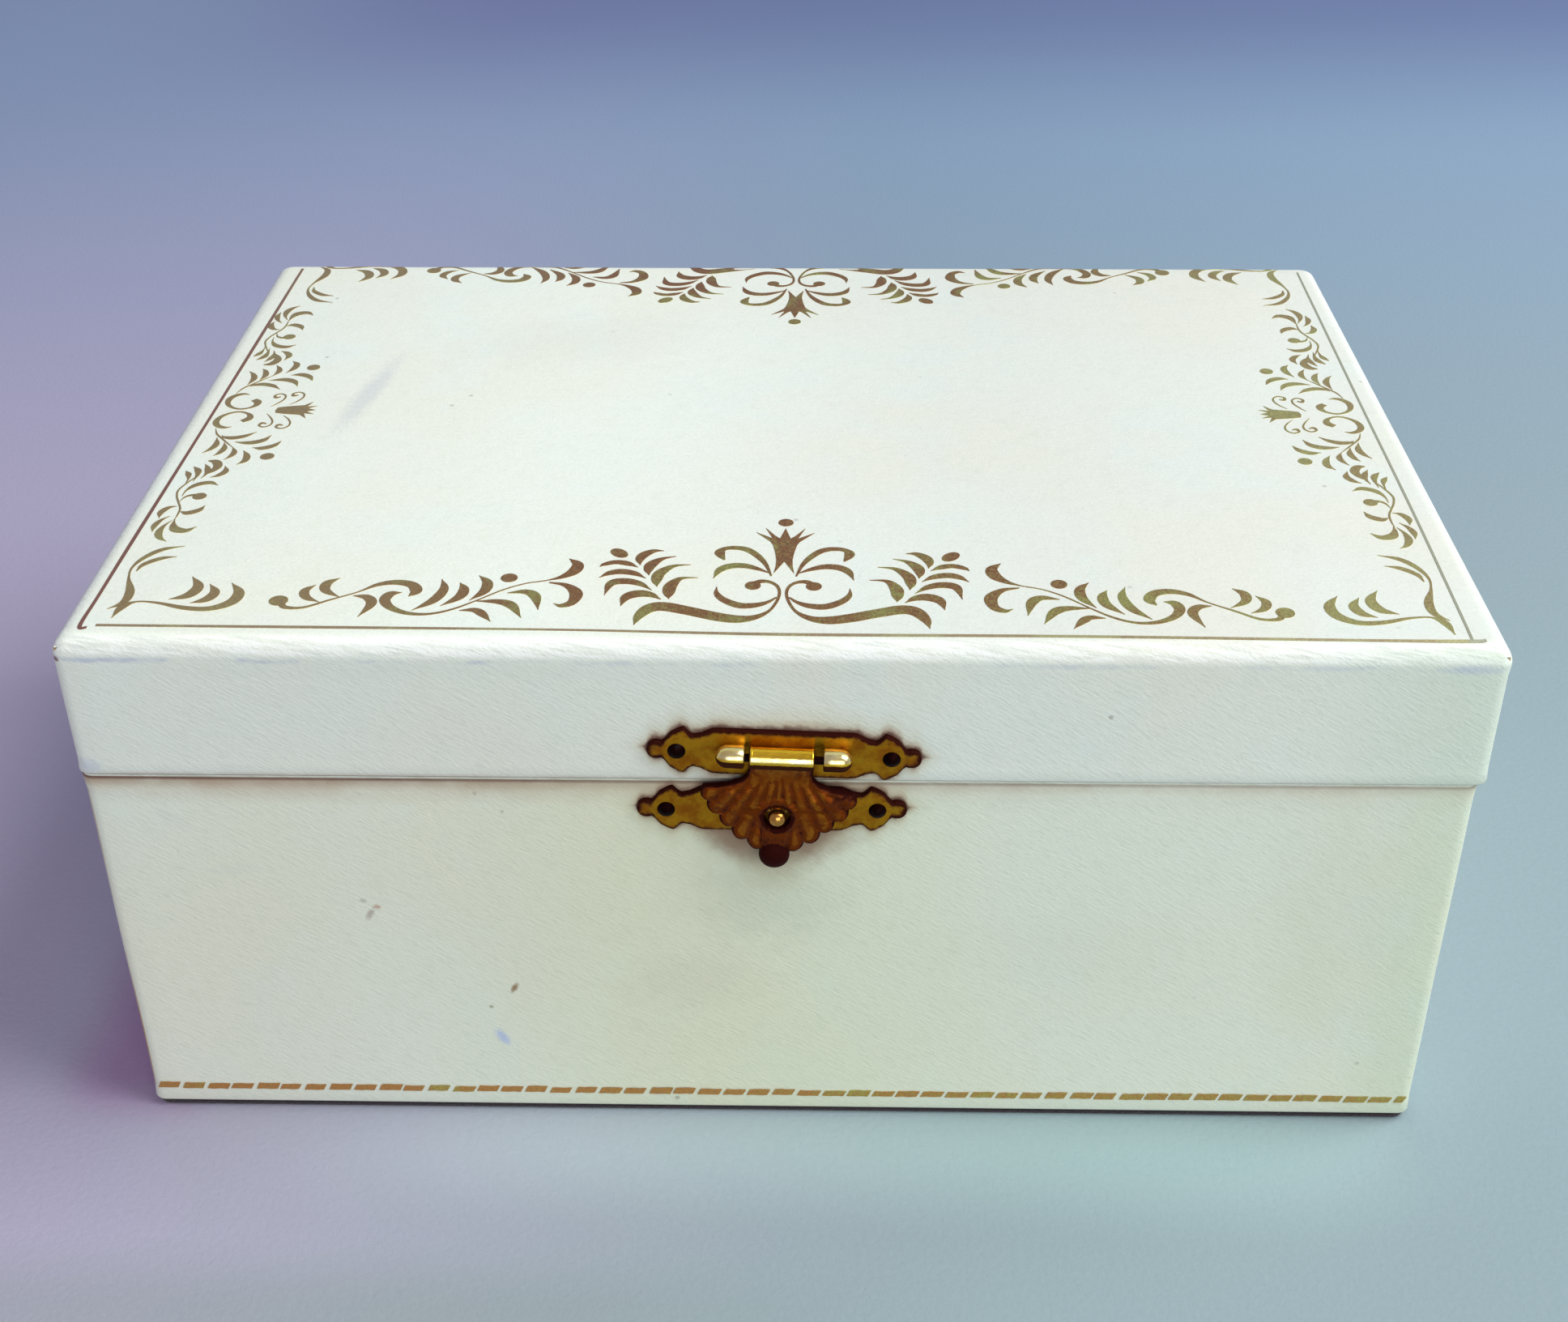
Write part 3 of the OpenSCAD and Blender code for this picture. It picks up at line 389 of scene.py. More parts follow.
def box_marks(f, colour):
    """Marks on the box: tones of the front with painted shade at its right end, stains, dirt and painted
    shadow round the catch and at the seam, and painted shade at the foot.
    """
    front = f.towards(f.ny)
    from_middle = f.math("ABSOLUTE", f.add(f.x, 8.0))
    colour = f.tint(front, colour, (1.0, 1.0, 0.94))
    colour = f.tint(f.times(front, f.ramp(from_middle, 52.0, 8.0)), colour, (0.98, 0.985, 0.90))
    # Painted shade: the front darker towards its right end
    colour = f.tint(f.times(front, f.ramp(f.x, 84.0, 98.0)), colour, (0.90, 0.94, 0.88))
    colour = f.round_plate(colour, (CATCH_X, CATCH_Z), 0.0)
    colour = add_marks(f, colour, BOX_MARKS)
    # Dirt and painted shade under the seam, heavier to the left: a brown haze, a tighter dark band, and the
    # darkest line at the seam itself
    under = f.times(f.ramp(f.z, 60.0, 65.4), f.ramp(f.noise(0.09, 3.0), 0.3, 0.65, 0.25, 0.75),
                    f.ramp(f.x, 60, -60, 0.25, 0.9), f.upright)
    colour = f.blend(under, colour, (0.50, 0.36, 0.26))
    to_left = leftward(f, 130.0, -40.0, 0.42, 0.95)
    uneven = f.ramp(f.noise(0.3, 3.0, 0.6), 0.25, 0.6, 0.3, 0.62)
    seam = f.times(f.ramp(f.z, 62.9, 65.2), to_left, uneven, f.upright)
    colour = f.blend(seam, colour, (0.34, 0.22, 0.14))
    dirt_and_shade = f.times(f.ramp(f.z, 64.75, 65.35), to_left, f.upright)
    colour = f.blend(dirt_and_shade, colour, SEAM_SHADE_AND_DIRT)
    # Painted shade: the foot of the covering darkened as a contact shadow
    return f.blend(f.ramp(f.z, 1.75, 1.25, 0, 0.6), colour, (0.12, 0.06, 0.055))


def foil(name, red, gold, gold_share, left=None, right=None, metallic=(0.75, 0.35), thin=None):
    """Worn metal foil, grainy and partly rubbed off.

    gold_share is how much of it is golden and not coppery. thin is its colour far from the lid's middle, and
    left and right are its colours along the lid's sides. metallic is for clean foil and for its grit."""
    f = Finish(name)
    tone = f.ramp(f.add(f.noise(0.09, 3.0, 0.6), gold_share - 0.5), 0.40, 0.62)
    front = f.ramp(f.y, -52.0, -68.0, 0.0, 0.2)
    rightward = f.ramp(f.x, -60.0, 90.0, -0.3, 0.25)
    speckle = f.times(f.math("SUBTRACT", f.noise(2.2, 3.0, 0.7, None, 8.0), 0.5), 3.0)
    share = f.math("MINIMUM", f.math("MAXIMUM", f.add(tone, front, rightward, speckle), 0.0), 1.0)
    colour = f.blend(share, red, gold)
    if thin:
        from_middle = f.math("ABSOLUTE", f.add(f.x, -8.0))
        colour = f.blend(f.ramp(from_middle, 30.0, 86.0, 0.0, 0.42), colour, thin)
    if left:
        colour = f.blend(f.ramp(f.x, -95.0, -97.0), colour, left)
        colour = f.blend(f.ramp(f.x, 94.5, 96.0), colour, right)
    grit = f.ramp(f.noise(3.0, 3.0, 0.7), 0.38, 0.68)
    colour = f.blend(f.times(grit, 0.50), colour, (0.15, 0.11, 0.065))
    f.set(Base_Color=colour, Metallic=f.ramp(grit, 0, 1, *metallic), Roughness=f.ramp(grit, 0, 1, 0.34, 0.62),
          Normal=f.bump(f.noise(2.4, 3.0, 0.6), 0.05))
    return f.material


def brass(name, bright, dull, dark, rough=(0.28, 0.55), patina=0.45, edge=False, amber=None):
    """Brass with a cloudy patina. With edge, an attribute on the mesh darkens it with dirt and painted shade;
    amber tints where it is slight, which on the barrel's top is a painted reflection.
    """
    f = Finish(name)
    cloud = f.noise(0.35, 5.0, 0.65)
    colour = f.blend(f.ramp(cloud, 0.36, 0.66), bright, dull)
    spots = f.ramp(f.noise(1.3, 4.0, 0.7, None, 4.0), 0.72 - 0.25 * patina, 0.86 - 0.2 * patina)
    colour = f.blend(spots, colour, dark)
    metal = f.ramp(spots, 0, 1, 0.97, 0.55)
    scratches = f.noise(2.0, 3.0, 0.6, f.stretched((0.94, 0, 0.34), (-0.34, 0, 0.94), 0.08))
    rubbed = f.ramp(f.add(f.times(scratches, 0.5), f.times(cloud, 0.5)), 0.35, 0.65, *rough)
    shine = 0.3
    if edge:
        reach = f.attribute("rim")
        if amber:
            colour = f.blend(f.ramp(reach, 0.02, 0.22), colour, amber)
        uneven = f.times(f.math("SUBTRACT", f.noise(1.1, 3.0, 0.6), 0.5), 0.7)
        rim = f.ramp(f.add(reach, uneven), 0.40, 0.85)
        colour = f.blend(rim, colour, dark)
        metal = f.times(metal, f.ramp(rim, 0, 1, 1.0, 0.25))
        rubbed = f.value(rim, rubbed, 0.6)
        shine = f.ramp(rim, 0, 1, 0.3, 0.04)
    relief = f.add(f.times(scratches, 0.3), f.times(f.noise(1.6, 4.0, 0.65), 0.7))
    f.set(Base_Color=colour, Metallic=metal, Roughness=rubbed, Specular_IOR_Level=shine,
          Normal=f.bump(relief, 0.05))
    return f.material


def velvet(name, deep, light):
    """Pile fabric: fine tufts, brushed patches and a soft sheen."""
    f = Finish(name)
    brushed = f.noise(0.07, 4.0, 0.6)
    tufts = f.noise(5.0, 3.0, 0.7)
    colour = f.blend(f.ramp(brushed, 0.35, 0.68), deep, light)
    colour = f.blend(f.ramp(tufts, 0.45, 0.7, 0, 0.5), colour, tuple(0.35 * c for c in deep))
    height = f.add(f.times(tufts, 0.6), f.times(brushed, 0.4))
    f.set(Base_Color=colour, Roughness=f.ramp(tufts, 0.3, 0.7, 0.75, 0.95), Normal=f.bump(height, 0.35),
          Sheen_Weight=0.55, Sheen_Roughness=0.35, Specular_IOR_Level=0.15)
    f.shader.inputs["Sheen Tint"].default_value = (*[min(1, 2.2 * c + 0.12) for c in light], 1)
    return f.material


def satin_cloth(name, colour_a, colour_b):
    """Satin: very fine long threads and a smooth sheen."""
    f = Finish(name)
    threads = f.noise(6.0, 2.0, 0.5, f.stretched((1, 0, 0), (0, 1, 0), 0.03))
    weft = f.noise(7.0, 2.0, 0.5, f.stretched((0, 1, 0), (1, 0, 0), 0.10), 5.0)
    colour = f.blend(f.ramp(f.noise(0.05, 3.0), 0.35, 0.65), colour_a, colour_b)
    colour = f.blend(f.ramp(threads, 0.4, 0.7, 0, 0.35), colour, tuple(0.6 * c for c in colour_a))
    f.set(Base_Color=colour, Roughness=f.ramp(weft, 0.3, 0.7, 0.30, 0.42), Sheen_Weight=0.25,
          Normal=f.bump(f.add(f.times(threads, 0.7), f.times(weft, 0.3)), 0.05), Anisotropic=0.4)
    return f.material


def felt_cloth(name, deep, light):
    """Felt: short matted fibres in all directions."""
    f = Finish(name)
    one = f.noise(3.0, 4.0, 0.7, f.stretched((0.8, 0.6, 0), (-0.6, 0.8, 0), 0.25))
    two = f.noise(3.0, 4.0, 0.7, f.stretched((0.5, -0.87, 0), (0.87, 0.5, 0), 0.25), 4.0)
    fibres = f.math("MAXIMUM", one, two)
    colour = f.blend(f.ramp(fibres, 0.45, 0.7), deep, light)
    f.set(Base_Color=colour, Roughness=0.95, Normal=f.bump(fibres, 0.3),
          Sheen_Weight=0.3, Specular_IOR_Level=0.1)
    return f.material


def bare_wood(name):
    """Pale softwood: growth rings along the board, pores and a dull sanded surface."""
    f = Finish(name)
    at = f.stretched((1, 0, 0), (0, 1, 0), 0.05)
    rings = f.tree.nodes.new("ShaderNodeTexWave")
    rings.wave_type, rings.bands_direction = "BANDS", "Y"
    f.put(rings.inputs["Vector"], at)
    for key, v in (("Scale", 0.16), ("Distortion", 5.0), ("Detail", 3.0), ("Detail Scale", 0.6)):
        rings.inputs[key].default_value = v
    pores = f.noise(2.5, 3.0, 0.7, at)
    colour = f.blend(f.ramp(rings.outputs[1], 0.1, 0.9), (0.60, 0.42, 0.22), (0.40, 0.24, 0.11))
    colour = f.blend(f.ramp(pores, 0.55, 0.75, 0, 0.5), colour, (0.22, 0.12, 0.05))
    f.set(Base_Color=colour, Roughness=f.ramp(pores, 0.3, 0.7, 0.55, 0.75), Normal=f.bump(pores, 0.12))
    return f.material


def mirror_finish(name):
    """Silvered glass with a little clouding."""
    f = Finish(name)
    edge = f.ramp(f.noise(0.3, 4.0, 0.65), 0.66, 0.74)
    f.set(Base_Color=f.blend(edge, (0.86, 0.89, 0.90), (0.55, 0.56, 0.55)), Metallic=1.0,
          Roughness=f.ramp(f.noise(0.2, 3.0), 0.4, 0.8, 0.02, 0.035))
    return f.material


def cotton(name):
    """Cotton wadding: soft loose fibres."""
    f = Finish(name)
    fibres = f.noise(1.4, 5.0, 0.7)
    f.set(Base_Color=f.blend(fibres, (0.72, 0.70, 0.64), (0.88, 0.87, 0.83)), Roughness=0.95,
          Normal=f.bump(fibres, 0.5), Sheen_Weight=0.2)
    return f.material


LID_LEATHER = leatherette("leatherette_lid", lid_marks)
BOX_LEATHER = leatherette("leatherette_box", box_marks)
FOIL = foil("foil_tooling", (0.44, 0.210, 0.080), (0.56, 0.545, 0.16), 0.46, thin=(0.80, 0.72, 0.34))
FOIL_LINE = foil("foil_border", (0.44, 0.32, 0.19), (0.55, 0.52, 0.27), 0.45,
                 (0.30, 0.135, 0.10), (0.50, 0.52, 0.38), (0.35, 0.15))
FOIL_DASH = foil("foil_dashes", (0.66, 0.30, 0.08), (0.58, 0.46, 0.11), 0.42)
PLATE_BRASS = brass("brass_plate", (0.54, 0.255, 0.012), (0.33, 0.105, 0.006), (0.035, 0.005, 0.003),
                    edge=True)
BRIGHT_BRASS = brass("brass_bright", (0.98, 0.87, 0.46), (0.92, 0.71, 0.26), (0.045, 0.010, 0.003),
                     (0.15, 0.27), 0.1, True, (0.95, 0.58, 0.04))
HASP_BRASS = brass("brass_hasp", (0.43, 0.140, 0.012), (0.26, 0.060, 0.005), (0.028, 0.003, 0.002),
                   (0.28, 0.55), 0.75, True, (0.20, 0.038, 0.004))
STUD_BRASS = brass("brass_stud", (0.62, 0.30, 0.07), (0.38, 0.15, 0.02), (0.05, 0.010, 0.004),
                   (0.14, 0.28), 0.5)
PLAIN_BRASS = brass("brass_fittings", (0.66, 0.46, 0.17), (0.48, 0.31, 0.10), (0.14, 0.07, 0.03),
                    (0.22, 0.5), 0.3)
DARK_BRASS = brass("brass_dark", (0.012, 0.002, 0.002), (0.007, 0.001, 0.001), (0.003, 0.001, 0.001),
                   (0.45, 0.7), 0.8)
VELVET = velvet("velvet", (0.19, 0.010, 0.030), (0.33, 0.022, 0.055))
VELVET_BOARD = velvet("velvet_board", (0.17, 0.009, 0.027), (0.29, 0.019, 0.048))
SATIN = satin_cloth("satin", (0.34, 0.035, 0.075), (0.44, 0.060, 0.110))
FELT = felt_cloth("felt", (0.020, 0.012, 0.018), (0.050, 0.032, 0.045))
WOOD = bare_wood("wood")
MIRROR = mirror_finish("mirror")
COTTON = cotton("wadding")


# ---------------------------------------------------------------- making meshes
def add_piece(name, points, faces, materials, body, slot, smooth=True, replaces=(),
              face_material=None, rim=None):
    """One mesh object from points in millimetres, riding on a body, with a number at each point for how far
    dirt and painted shade darken its brass.
    """
    mesh = bpy.data.meshes.new(name)
    mesh.from_pydata([tuple(float(c) * MM for c in p) for p in points], [], faces)
    for m in materials if isinstance(materials, (list, tuple)) else [materials]:
        mesh.materials.append(m)
    if face_material is not None:
        mesh.polygons.foreach_set("material_index", face_material)
    if rim is not None:
        mesh.attributes.new("rim", "FLOAT", "POINT").data.foreach_set("value", np.array(rim, np.float32))
    mesh.polygons.foreach_set("use_smooth", [smooth] * len(mesh.polygons))
    mesh.validate()
    mesh.update()
    piece = bpy.data.objects.new(name, mesh)
    bpy.context.scene.collection.objects.link(piece)
    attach(piece, body)
    if replaces:
        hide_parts(*replaces)
    return piece


def shells(bm):
    """The faces of each connected part of a mesh."""
    for face in bm.faces:
        face.tag = False
    for first in bm.faces:
        if not first.tag:
            first.tag = True
            shell = [first]
            for face in shell:            # the list grows while it is read
                for other in (f for edge in face.edges for f in edge.link_faces if not f.tag):
                    other.tag = True
                    shell.append(other)
            yield shell


def holds_inside(shell):
    """True where the faces of a closed shell look outward, by the sign of the volume they enclose."""
    origin = shell[0].verts[0].co
    volume = 0.0
    for face in shell:
        corners = [v.co - origin for v in face.verts]
        volume += sum(corners[0].dot(a.cross(b)) for a, b in zip(corners[1:], corners[2:]))
    return volume >= 0


def outward(piece, merge_mm=0.001):
    """Merges doubled points and turns all faces outward."""
    bm = bmesh.new()
    bm.from_mesh(piece.data)
    bmesh.ops.remove_doubles(bm, verts=bm.verts, dist=merge_mm * MM)
    bmesh.ops.recalc_face_normals(bm, faces=bm.faces)
    inside_out = [face for shell in shells(bm) if not holds_inside(shell) for face in shell]
    bmesh.ops.reverse_faces(bm, faces=inside_out)
    bm.to_mesh(piece.data)
    bm.free()
    piece.data.update()
    return piece


def sharpen(piece, angle=35):
    """Smooth shading that keeps edges sharper than the angle."""
    piece.data.set_sharp_from_angle(angle=math.radians(angle))
    return piece


def loop_faces(rows, columns, closed=False):
    """Quads of a loft: each row is a closed loop of points. closed also joins the last row to the first."""
    faces = []
    for r in range(rows if closed else rows - 1):
        a, b = r * columns, (r + 1) % rows * columns
        faces += [(a + i, a + (i + 1) % columns, b + (i + 1) % columns, b + i) for i in range(columns)]
    return faces


def end_faces(rows, columns):
    """The two faces that close the ends of a loft."""
    return [tuple(range(columns)), tuple(reversed(range((rows - 1) * columns, rows * columns)))]


def offset(faces, start):
    """Faces whose points begin at number start."""
    return [tuple(start + i for i in face) for face in faces]


def round_off(distance, width):
    """Drop of a rounded edge at a distance from it, as a share of its width: from 1 on the edge to 0."""
    return 1 - math.sqrt(max(0, 1 - (1 - min(1, distance / width)) ** 2))


def smooth_step(t):
    t = min(1.0, max(0.0, t))
    return t * t * (3 - 2 * t)


def ripple(x, y, z, scale=0.03):
    """Slow unevenness from -1 to 1."""
    return noise.noise(Vector((x, y, z)) * scale)


# ---------------------------------------------------------------- the two coverings
LONG_STEPS, SHORT_STEPS, CORNER_STEPS = 56, 40, 6


def rounded_loop(half_x, half_y, r):
    """Plan of a rounded rectangle, always with the same number of points."""
    r = max(0.0, min(r, half_x, half_y))
    out = []
    corners = (((1, -1), -90), ((1, 1), 0), ((-1, 1), 90), ((-1, -1), 180))
    for number, ((sx, sy), start) in enumerate(corners):
        cx, cy = sx * (half_x - r), sy * (half_y - r)
        turns = [math.radians(start + 90 * k / CORNER_STEPS) for k in range(CORNER_STEPS + 1)]
        arc = [(cx + r * math.cos(a), cy + r * math.sin(a)) for a in turns]
        out += arc
        nx, ny = corners[(number + 1) % 4][0]
        if sx * sy < 0:
            steps, last = SHORT_STEPS, (nx * half_x, ny * (half_y - r))
        else:
            steps, last = LONG_STEPS, (nx * (half_x - r), ny * half_y)
        first = arc[-1]
        out += [(first[0] + (last[0] - first[0]) * k / steps, first[1] + (last[1] - first[1]) * k / steps)
                for k in range(1, steps)]
    return out



LID_LO, LID_HI = box_mm("lid_covering")
LID_HALF = ((LID_HI[0] - LID_LO[0]) / 2, (LID_HI[1] - LID_LO[1]) / 2)
LID_Z0, LID_Z1 = LID_LO[2], LID_HI[2]
BOX_LO, BOX_HI = box_mm("box_covering")
BOX_HALF = ((BOX_HI[0] - BOX_LO[0]) / 2, (BOX_HI[1] - BOX_LO[1]) / 2)
BOX_MID = (BOX_HI[0] + BOX_LO[0]) / 2     # the left wall stands a little further out than the right one
BOX_Z0, BOX_Z1 = BOX_LO[2], BOX_HI[2]
COVER_T = BOX_HI[0] - box_mm("box_front_panel")[1][0]
EDGE_R = 3.0
CORNER_R = 2.0
LID_WOOD_Z0 = box_mm("lid_front_rail")[0][2]
LID_WOOD_Z1 = box_mm("lid_top_panel")[1][2]
LID_BAY_INSET = LID_HALF[0] - box_mm("lid_front_lining")[1][0]
BOX_BAY_INSET = BOX_HI[0] - box_mm("box_front_lining")[1][0]
FOLD_INSET = COVER_T + 11.0               # how far the covering is turned in under the box
PADDING, PAD_DIP = 0.28, 0.18             # rise of the padded top over its sides, and how low its border lies


def edge_drop(inset):
    """How far the rounded edge lies below the lid's flat top, at a distance from the lid's side."""
    if inset >= EDGE_R:
        return 0.0
    return EDGE_R - math.sqrt(max(0.0, EDGE_R ** 2 - (EDGE_R - inset) ** 2))


def lid_top(x, y):
    """Height of the padded top of the lid."""
    inset = max(0.0, min(LID_HALF[0] - abs(x), LID_HALF[1] - abs(y)))
    padded = PADDING * smooth_step(inset / 26) - PAD_DIP
    uneven = 0.05 * ripple(x, y, 0, 0.035) * smooth_step(inset / 8)
    return LID_Z1 + padded - edge_drop(inset) + uneven


def skin_rings(rings, half, wave):
    """Points of a loft of rounded loops. Each ring is an inset, a height, a corner radius and a share of
    the unevenness."""
    points = []
    for inset, z, r, share in rings:
        for x, y in rounded_loop(half[0] - inset, half[1] - inset, r):
            pull = 1 - share * wave * (0.5 + 0.5 * ripple(x, y, z)) / max(half)
            points.append((x * pull, y * pull, z))
    return points


def make_lid_covering():
    """Leatherette over the lid: underside, four sides, the rounded edge, the padded top and the inside."""
    soft = 0.35
    outer = [(LID_BAY_INSET, LID_WOOD_Z0, 0.3, 0), (LID_BAY_INSET, LID_Z0 + 0.15, 0.3, 0),
             (LID_BAY_INSET - 0.15, LID_Z0, 0.4, 0), (soft + 1.5, LID_Z0, 1.4, 0),
             (soft, LID_Z0, CORNER_R - 0.2, 0), (soft * 0.3, LID_Z0 + 0.12, CORNER_R, 0),
             (0, LID_Z0 + soft, CORNER_R, 0)]
    side_top = LID_Z1 - PAD_DIP - EDGE_R
    rows, turns, top_rows = 11, 9, 16
    for k in range(1, rows + 1):
        z = LID_Z0 + soft + (side_top - LID_Z0 - soft) * k / rows
        outer.append((0, z, CORNER_R, min(1, k * (rows - k) / 9)))
    for k in range(1, turns + 1):
        a = math.pi / 2 * k / turns
        inset = EDGE_R * (1 - math.cos(a))
        outer.append((inset, side_top + EDGE_R * math.sin(a), CORNER_R - 0.3 * inset, 0))
    for k in range(1, top_rows + 1):      # rings of the top; lid_top gives their height
        inset = EDGE_R + (LID_HALF[1] - EDGE_R) * (k / top_rows) ** 1.35
        outer.append((inset, None, max(0.0, 1.0 - 0.02 * inset) if inset < LID_HALF[1] else 0, 0))
    under_top = LID_WOOD_Z1 + 0.95
    inner = [(COVER_T, LID_WOOD_Z0, 0.3, 0), (COVER_T, (LID_WOOD_Z0 + LID_WOOD_Z1) / 2, 0.3, 0),
             (COVER_T, LID_WOOD_Z1, 0.3, 0), (COVER_T + 1.8, LID_WOOD_Z1 + 0.02, 0.3, 0),
             (COVER_T + 1.9, LID_WOOD_Z1 + 0.9, 0.3, 0), (8.0, under_top, 0.2, 0), (30.0, under_top, 0.2, 0),
             (LID_HALF[1], under_top, 0, 0)]
    rings = list(reversed(inner)) + outer
    points = skin_rings([(i, LID_Z1 if z is None else z, r, s) for i, z, r, s in rings], LID_HALF, 0.25)
    columns = len(rounded_loop(*LID_HALF, 1))
    for n, ring in enumerate(rings):
        if ring[1] is None:
            for k in range(n * columns, (n + 1) * columns):
                x, y, _ = points[k]
                points[k] = (x, y, lid_top(x, y))
    piece = add_piece("lid_leatherette", points, loop_faces(len(rings), columns), LID_LEATHER,
                      "lid", "leatherette", replaces=["lid_covering"])
    sharpen(outward(piece, 0.02), 60)


def make_box_covering():
    """Leatherette round the box, turned in over the walls' top and under the bottom."""
    soft = 0.45
    rings = [(soft, BOX_Z0, CORNER_R - 0.3, 0), (soft * 0.3, BOX_Z0 + 0.14, CORNER_R - 0.1, 0),
             (0, BOX_Z0 + soft, CORNER_R, 0)]
    rows = 24
    side = BOX_Z1 - soft - BOX_Z0 - soft
    for k in range(1, rows + 1):
        rings.append((0, BOX_Z0 + soft + side * k / rows, CORNER_R, min(1, k * (rows - k) / 20)))
    rings += [(soft * 0.3, BOX_Z1 - 0.14, CORNER_R - 0.1, 0), (soft, BOX_Z1, CORNER_R - 0.3, 0),
              (2.5, BOX_Z1 - 0.03, 1.0, 0), (BOX_BAY_INSET - 0.3, BOX_Z1, 0.4, 0),
              (BOX_BAY_INSET - 0.06, BOX_Z1 - 0.1, 0.3, 0), (BOX_BAY_INSET, BOX_Z1 - 0.3, 0.3, 0),
              (BOX_BAY_INSET, BOX_Z1 - COVER_T, 0.3, 0), (COVER_T, BOX_Z1 - COVER_T, 0.3, 0),
              (COVER_T, BOX_Z0 + COVER_T, 0.3, 0), (FOLD_INSET, BOX_Z0 + COVER_T, 0.3, 0),
              (FOLD_INSET, BOX_Z0 + 0.1, 0.3, 0), (FOLD_INSET - 0.1, BOX_Z0, 0.3, 0)]
    columns = len(rounded_loop(*BOX_HALF, 1))
    points = skin_rings(rings, BOX_HALF, 0.3)
    for n, ring in enumerate(rings):
        at_bay = BOX_BAY_INSET - 1 < ring[0] < FOLD_INSET - 1
        for k in range(n * columns, (n + 1) * columns):
            x, y, z = points[k]
            points[k] = (x + (-BOX_MID if at_bay and x < 0 else BOX_MID), y, z)
    piece = add_piece("box_leatherette", points, loop_faces(len(rings), columns, True), BOX_LEATHER,
                      "box", "leatherette", replaces=["box_covering"])
    sharpen(outward(piece, 0.02), 60)


make_lid_covering()
make_box_covering()



# ---------------------------------------------------------------- gold tooling
def smooth_path(points, per=7):
    """Catmull-Rom curve through points of any dimension."""
    p = [np.array(q, float) for q in points]
    p = [2 * p[0] - p[1]] + p + [2 * p[-1] - p[-2]]
    out = []
    for i in range(1, len(p) - 2):
        for k in range(per):
            t = k / per
            out.append(0.5 * (2 * p[i] + (p[i + 1] - p[i - 1]) * t
                              + (2 * p[i - 1] - 5 * p[i] + 4 * p[i + 1] - p[i + 2]) * t ** 2
                              + (3 * p[i] - p[i - 1] - 3 * p[i + 1] + p[i + 2]) * t ** 3))
    out.append(p[-2])
    return out


class Tooling:
    """Foil strokes on a surface, gathered into one mesh.

    place(u, v) gives a point and the way out of the surface, or None off its edge."""
    THICK = 0.07      # how far the foil stands out
    SUNK = 0.03       # and how far it reaches in
    BROAD = 1.2       # how much broader a full stroke is than its table says
    THINNEST = 0.10

    def __init__(self, place):
        self.place, self.points, self.faces = place, [], []

    def vertex(self, u, v, lift):
        """Adds a point at a height over the surface, and gives its number."""
        point, out = self.place(u, v)
        self.points.append(np.array(point) + np.array(out) * lift)
        return len(self.points) - 1

    def stroke(self, points, widths, scale=1.0):
        """A tapered stroke through points (u, v), with widths spread evenly along it."""
        at = np.linspace(0, len(widths) - 1, len(points))
        wide = np.interp(at, range(len(widths)), widths)
        path = smooth_path([(*p, w) for p, w in zip(points, wide)])
        rings = []
        for i, q in enumerate(path):
            d = path[min(i + 1, len(path) - 1)][:2] - path[max(i - 1, 0)][:2]
            d = d / max(1e-6, np.hypot(*d))
            w = max(self.THINNEST, q[2] * scale * self.BROAD * (0.55 + 0.45 * smooth_step(q[2] / 0.8))) / 2
            a, b = q[:2] + w * np.array((-d[1], d[0])), q[:2] - w * np.array((-d[1], d[0]))
            if self.place(*a) is None or self.place(*b) is None:
                self.flush(rings)
                rings = []
                continue
            rings.append([self.vertex(*a, self.THICK), self.vertex(*b, self.THICK),
                          self.vertex(*b, -self.SUNK), self.vertex(*a, -self.SUNK)])
        self.flush(rings)

    def flush(self, rings):
        """Joins the rings of one unbroken stretch and closes its ends."""
        if len(rings) < 2:
            return
        for p, q in zip(rings, rings[1:]):
            self.faces += [(p[k], p[(k + 1) % 4], q[(k + 1) % 4], q[k]) for k in range(4)]
        self.faces += [tuple(reversed(rings[0])), tuple(rings[-1])]

    def shape(self, outline):
        """A flat closed shape."""
        if any(self.place(*p) is None for p in outline):
            return
        top = [self.vertex(*p, self.THICK) for p in outline]
        low = [self.vertex(*p, -self.SUNK) for p in outline]
        n = len(outline)
        self.faces += [tuple(top), tuple(reversed(low))]
        self.faces += [(top[i], low[i], low[(i + 1) % n], top[(i + 1) % n]) for i in range(n)]

    def flower(self, outline):
        """A closed shape from its right half, which starts and ends on the middle line."""
        self.shape(outline + [(-u, v) for u, v in reversed(outline[1:-1])])

    def dot(self, u, v, ru, rv, turn=0.0):
        """An ellipse."""
        c, s = math.cos(math.radians(turn)), math.sin(math.radians(turn))
        ring = [(ru * math.cos(a), rv * math.sin(a)) for a in np.linspace(0, 2 * math.pi, 20, endpoint=False)]
        self.shape([(u + c * p - s * q, v + s * p + c * q) for p, q in ring])

    def half(self, side, strokes, dots=(), scale=1.0, shift=(0, 0)):
        """Draws strokes and dots on one side of a motif's middle, moved away from it by shift."""
        for points, widths in strokes:
            self.stroke([(side * (u + shift[0]), v + shift[1]) for u, v in points], widths, scale)
        for u, v, ru, rv, turn in dots:
            self.dot(side * u, v, ru * scale, rv * scale, side * turn)

    def finish(self, name, body, material):
        """Makes the piece."""
        piece = add_piece(name, self.points, self.faces, material, body, "leatherette", smooth=False)
        return outward(piece, 0.0001)


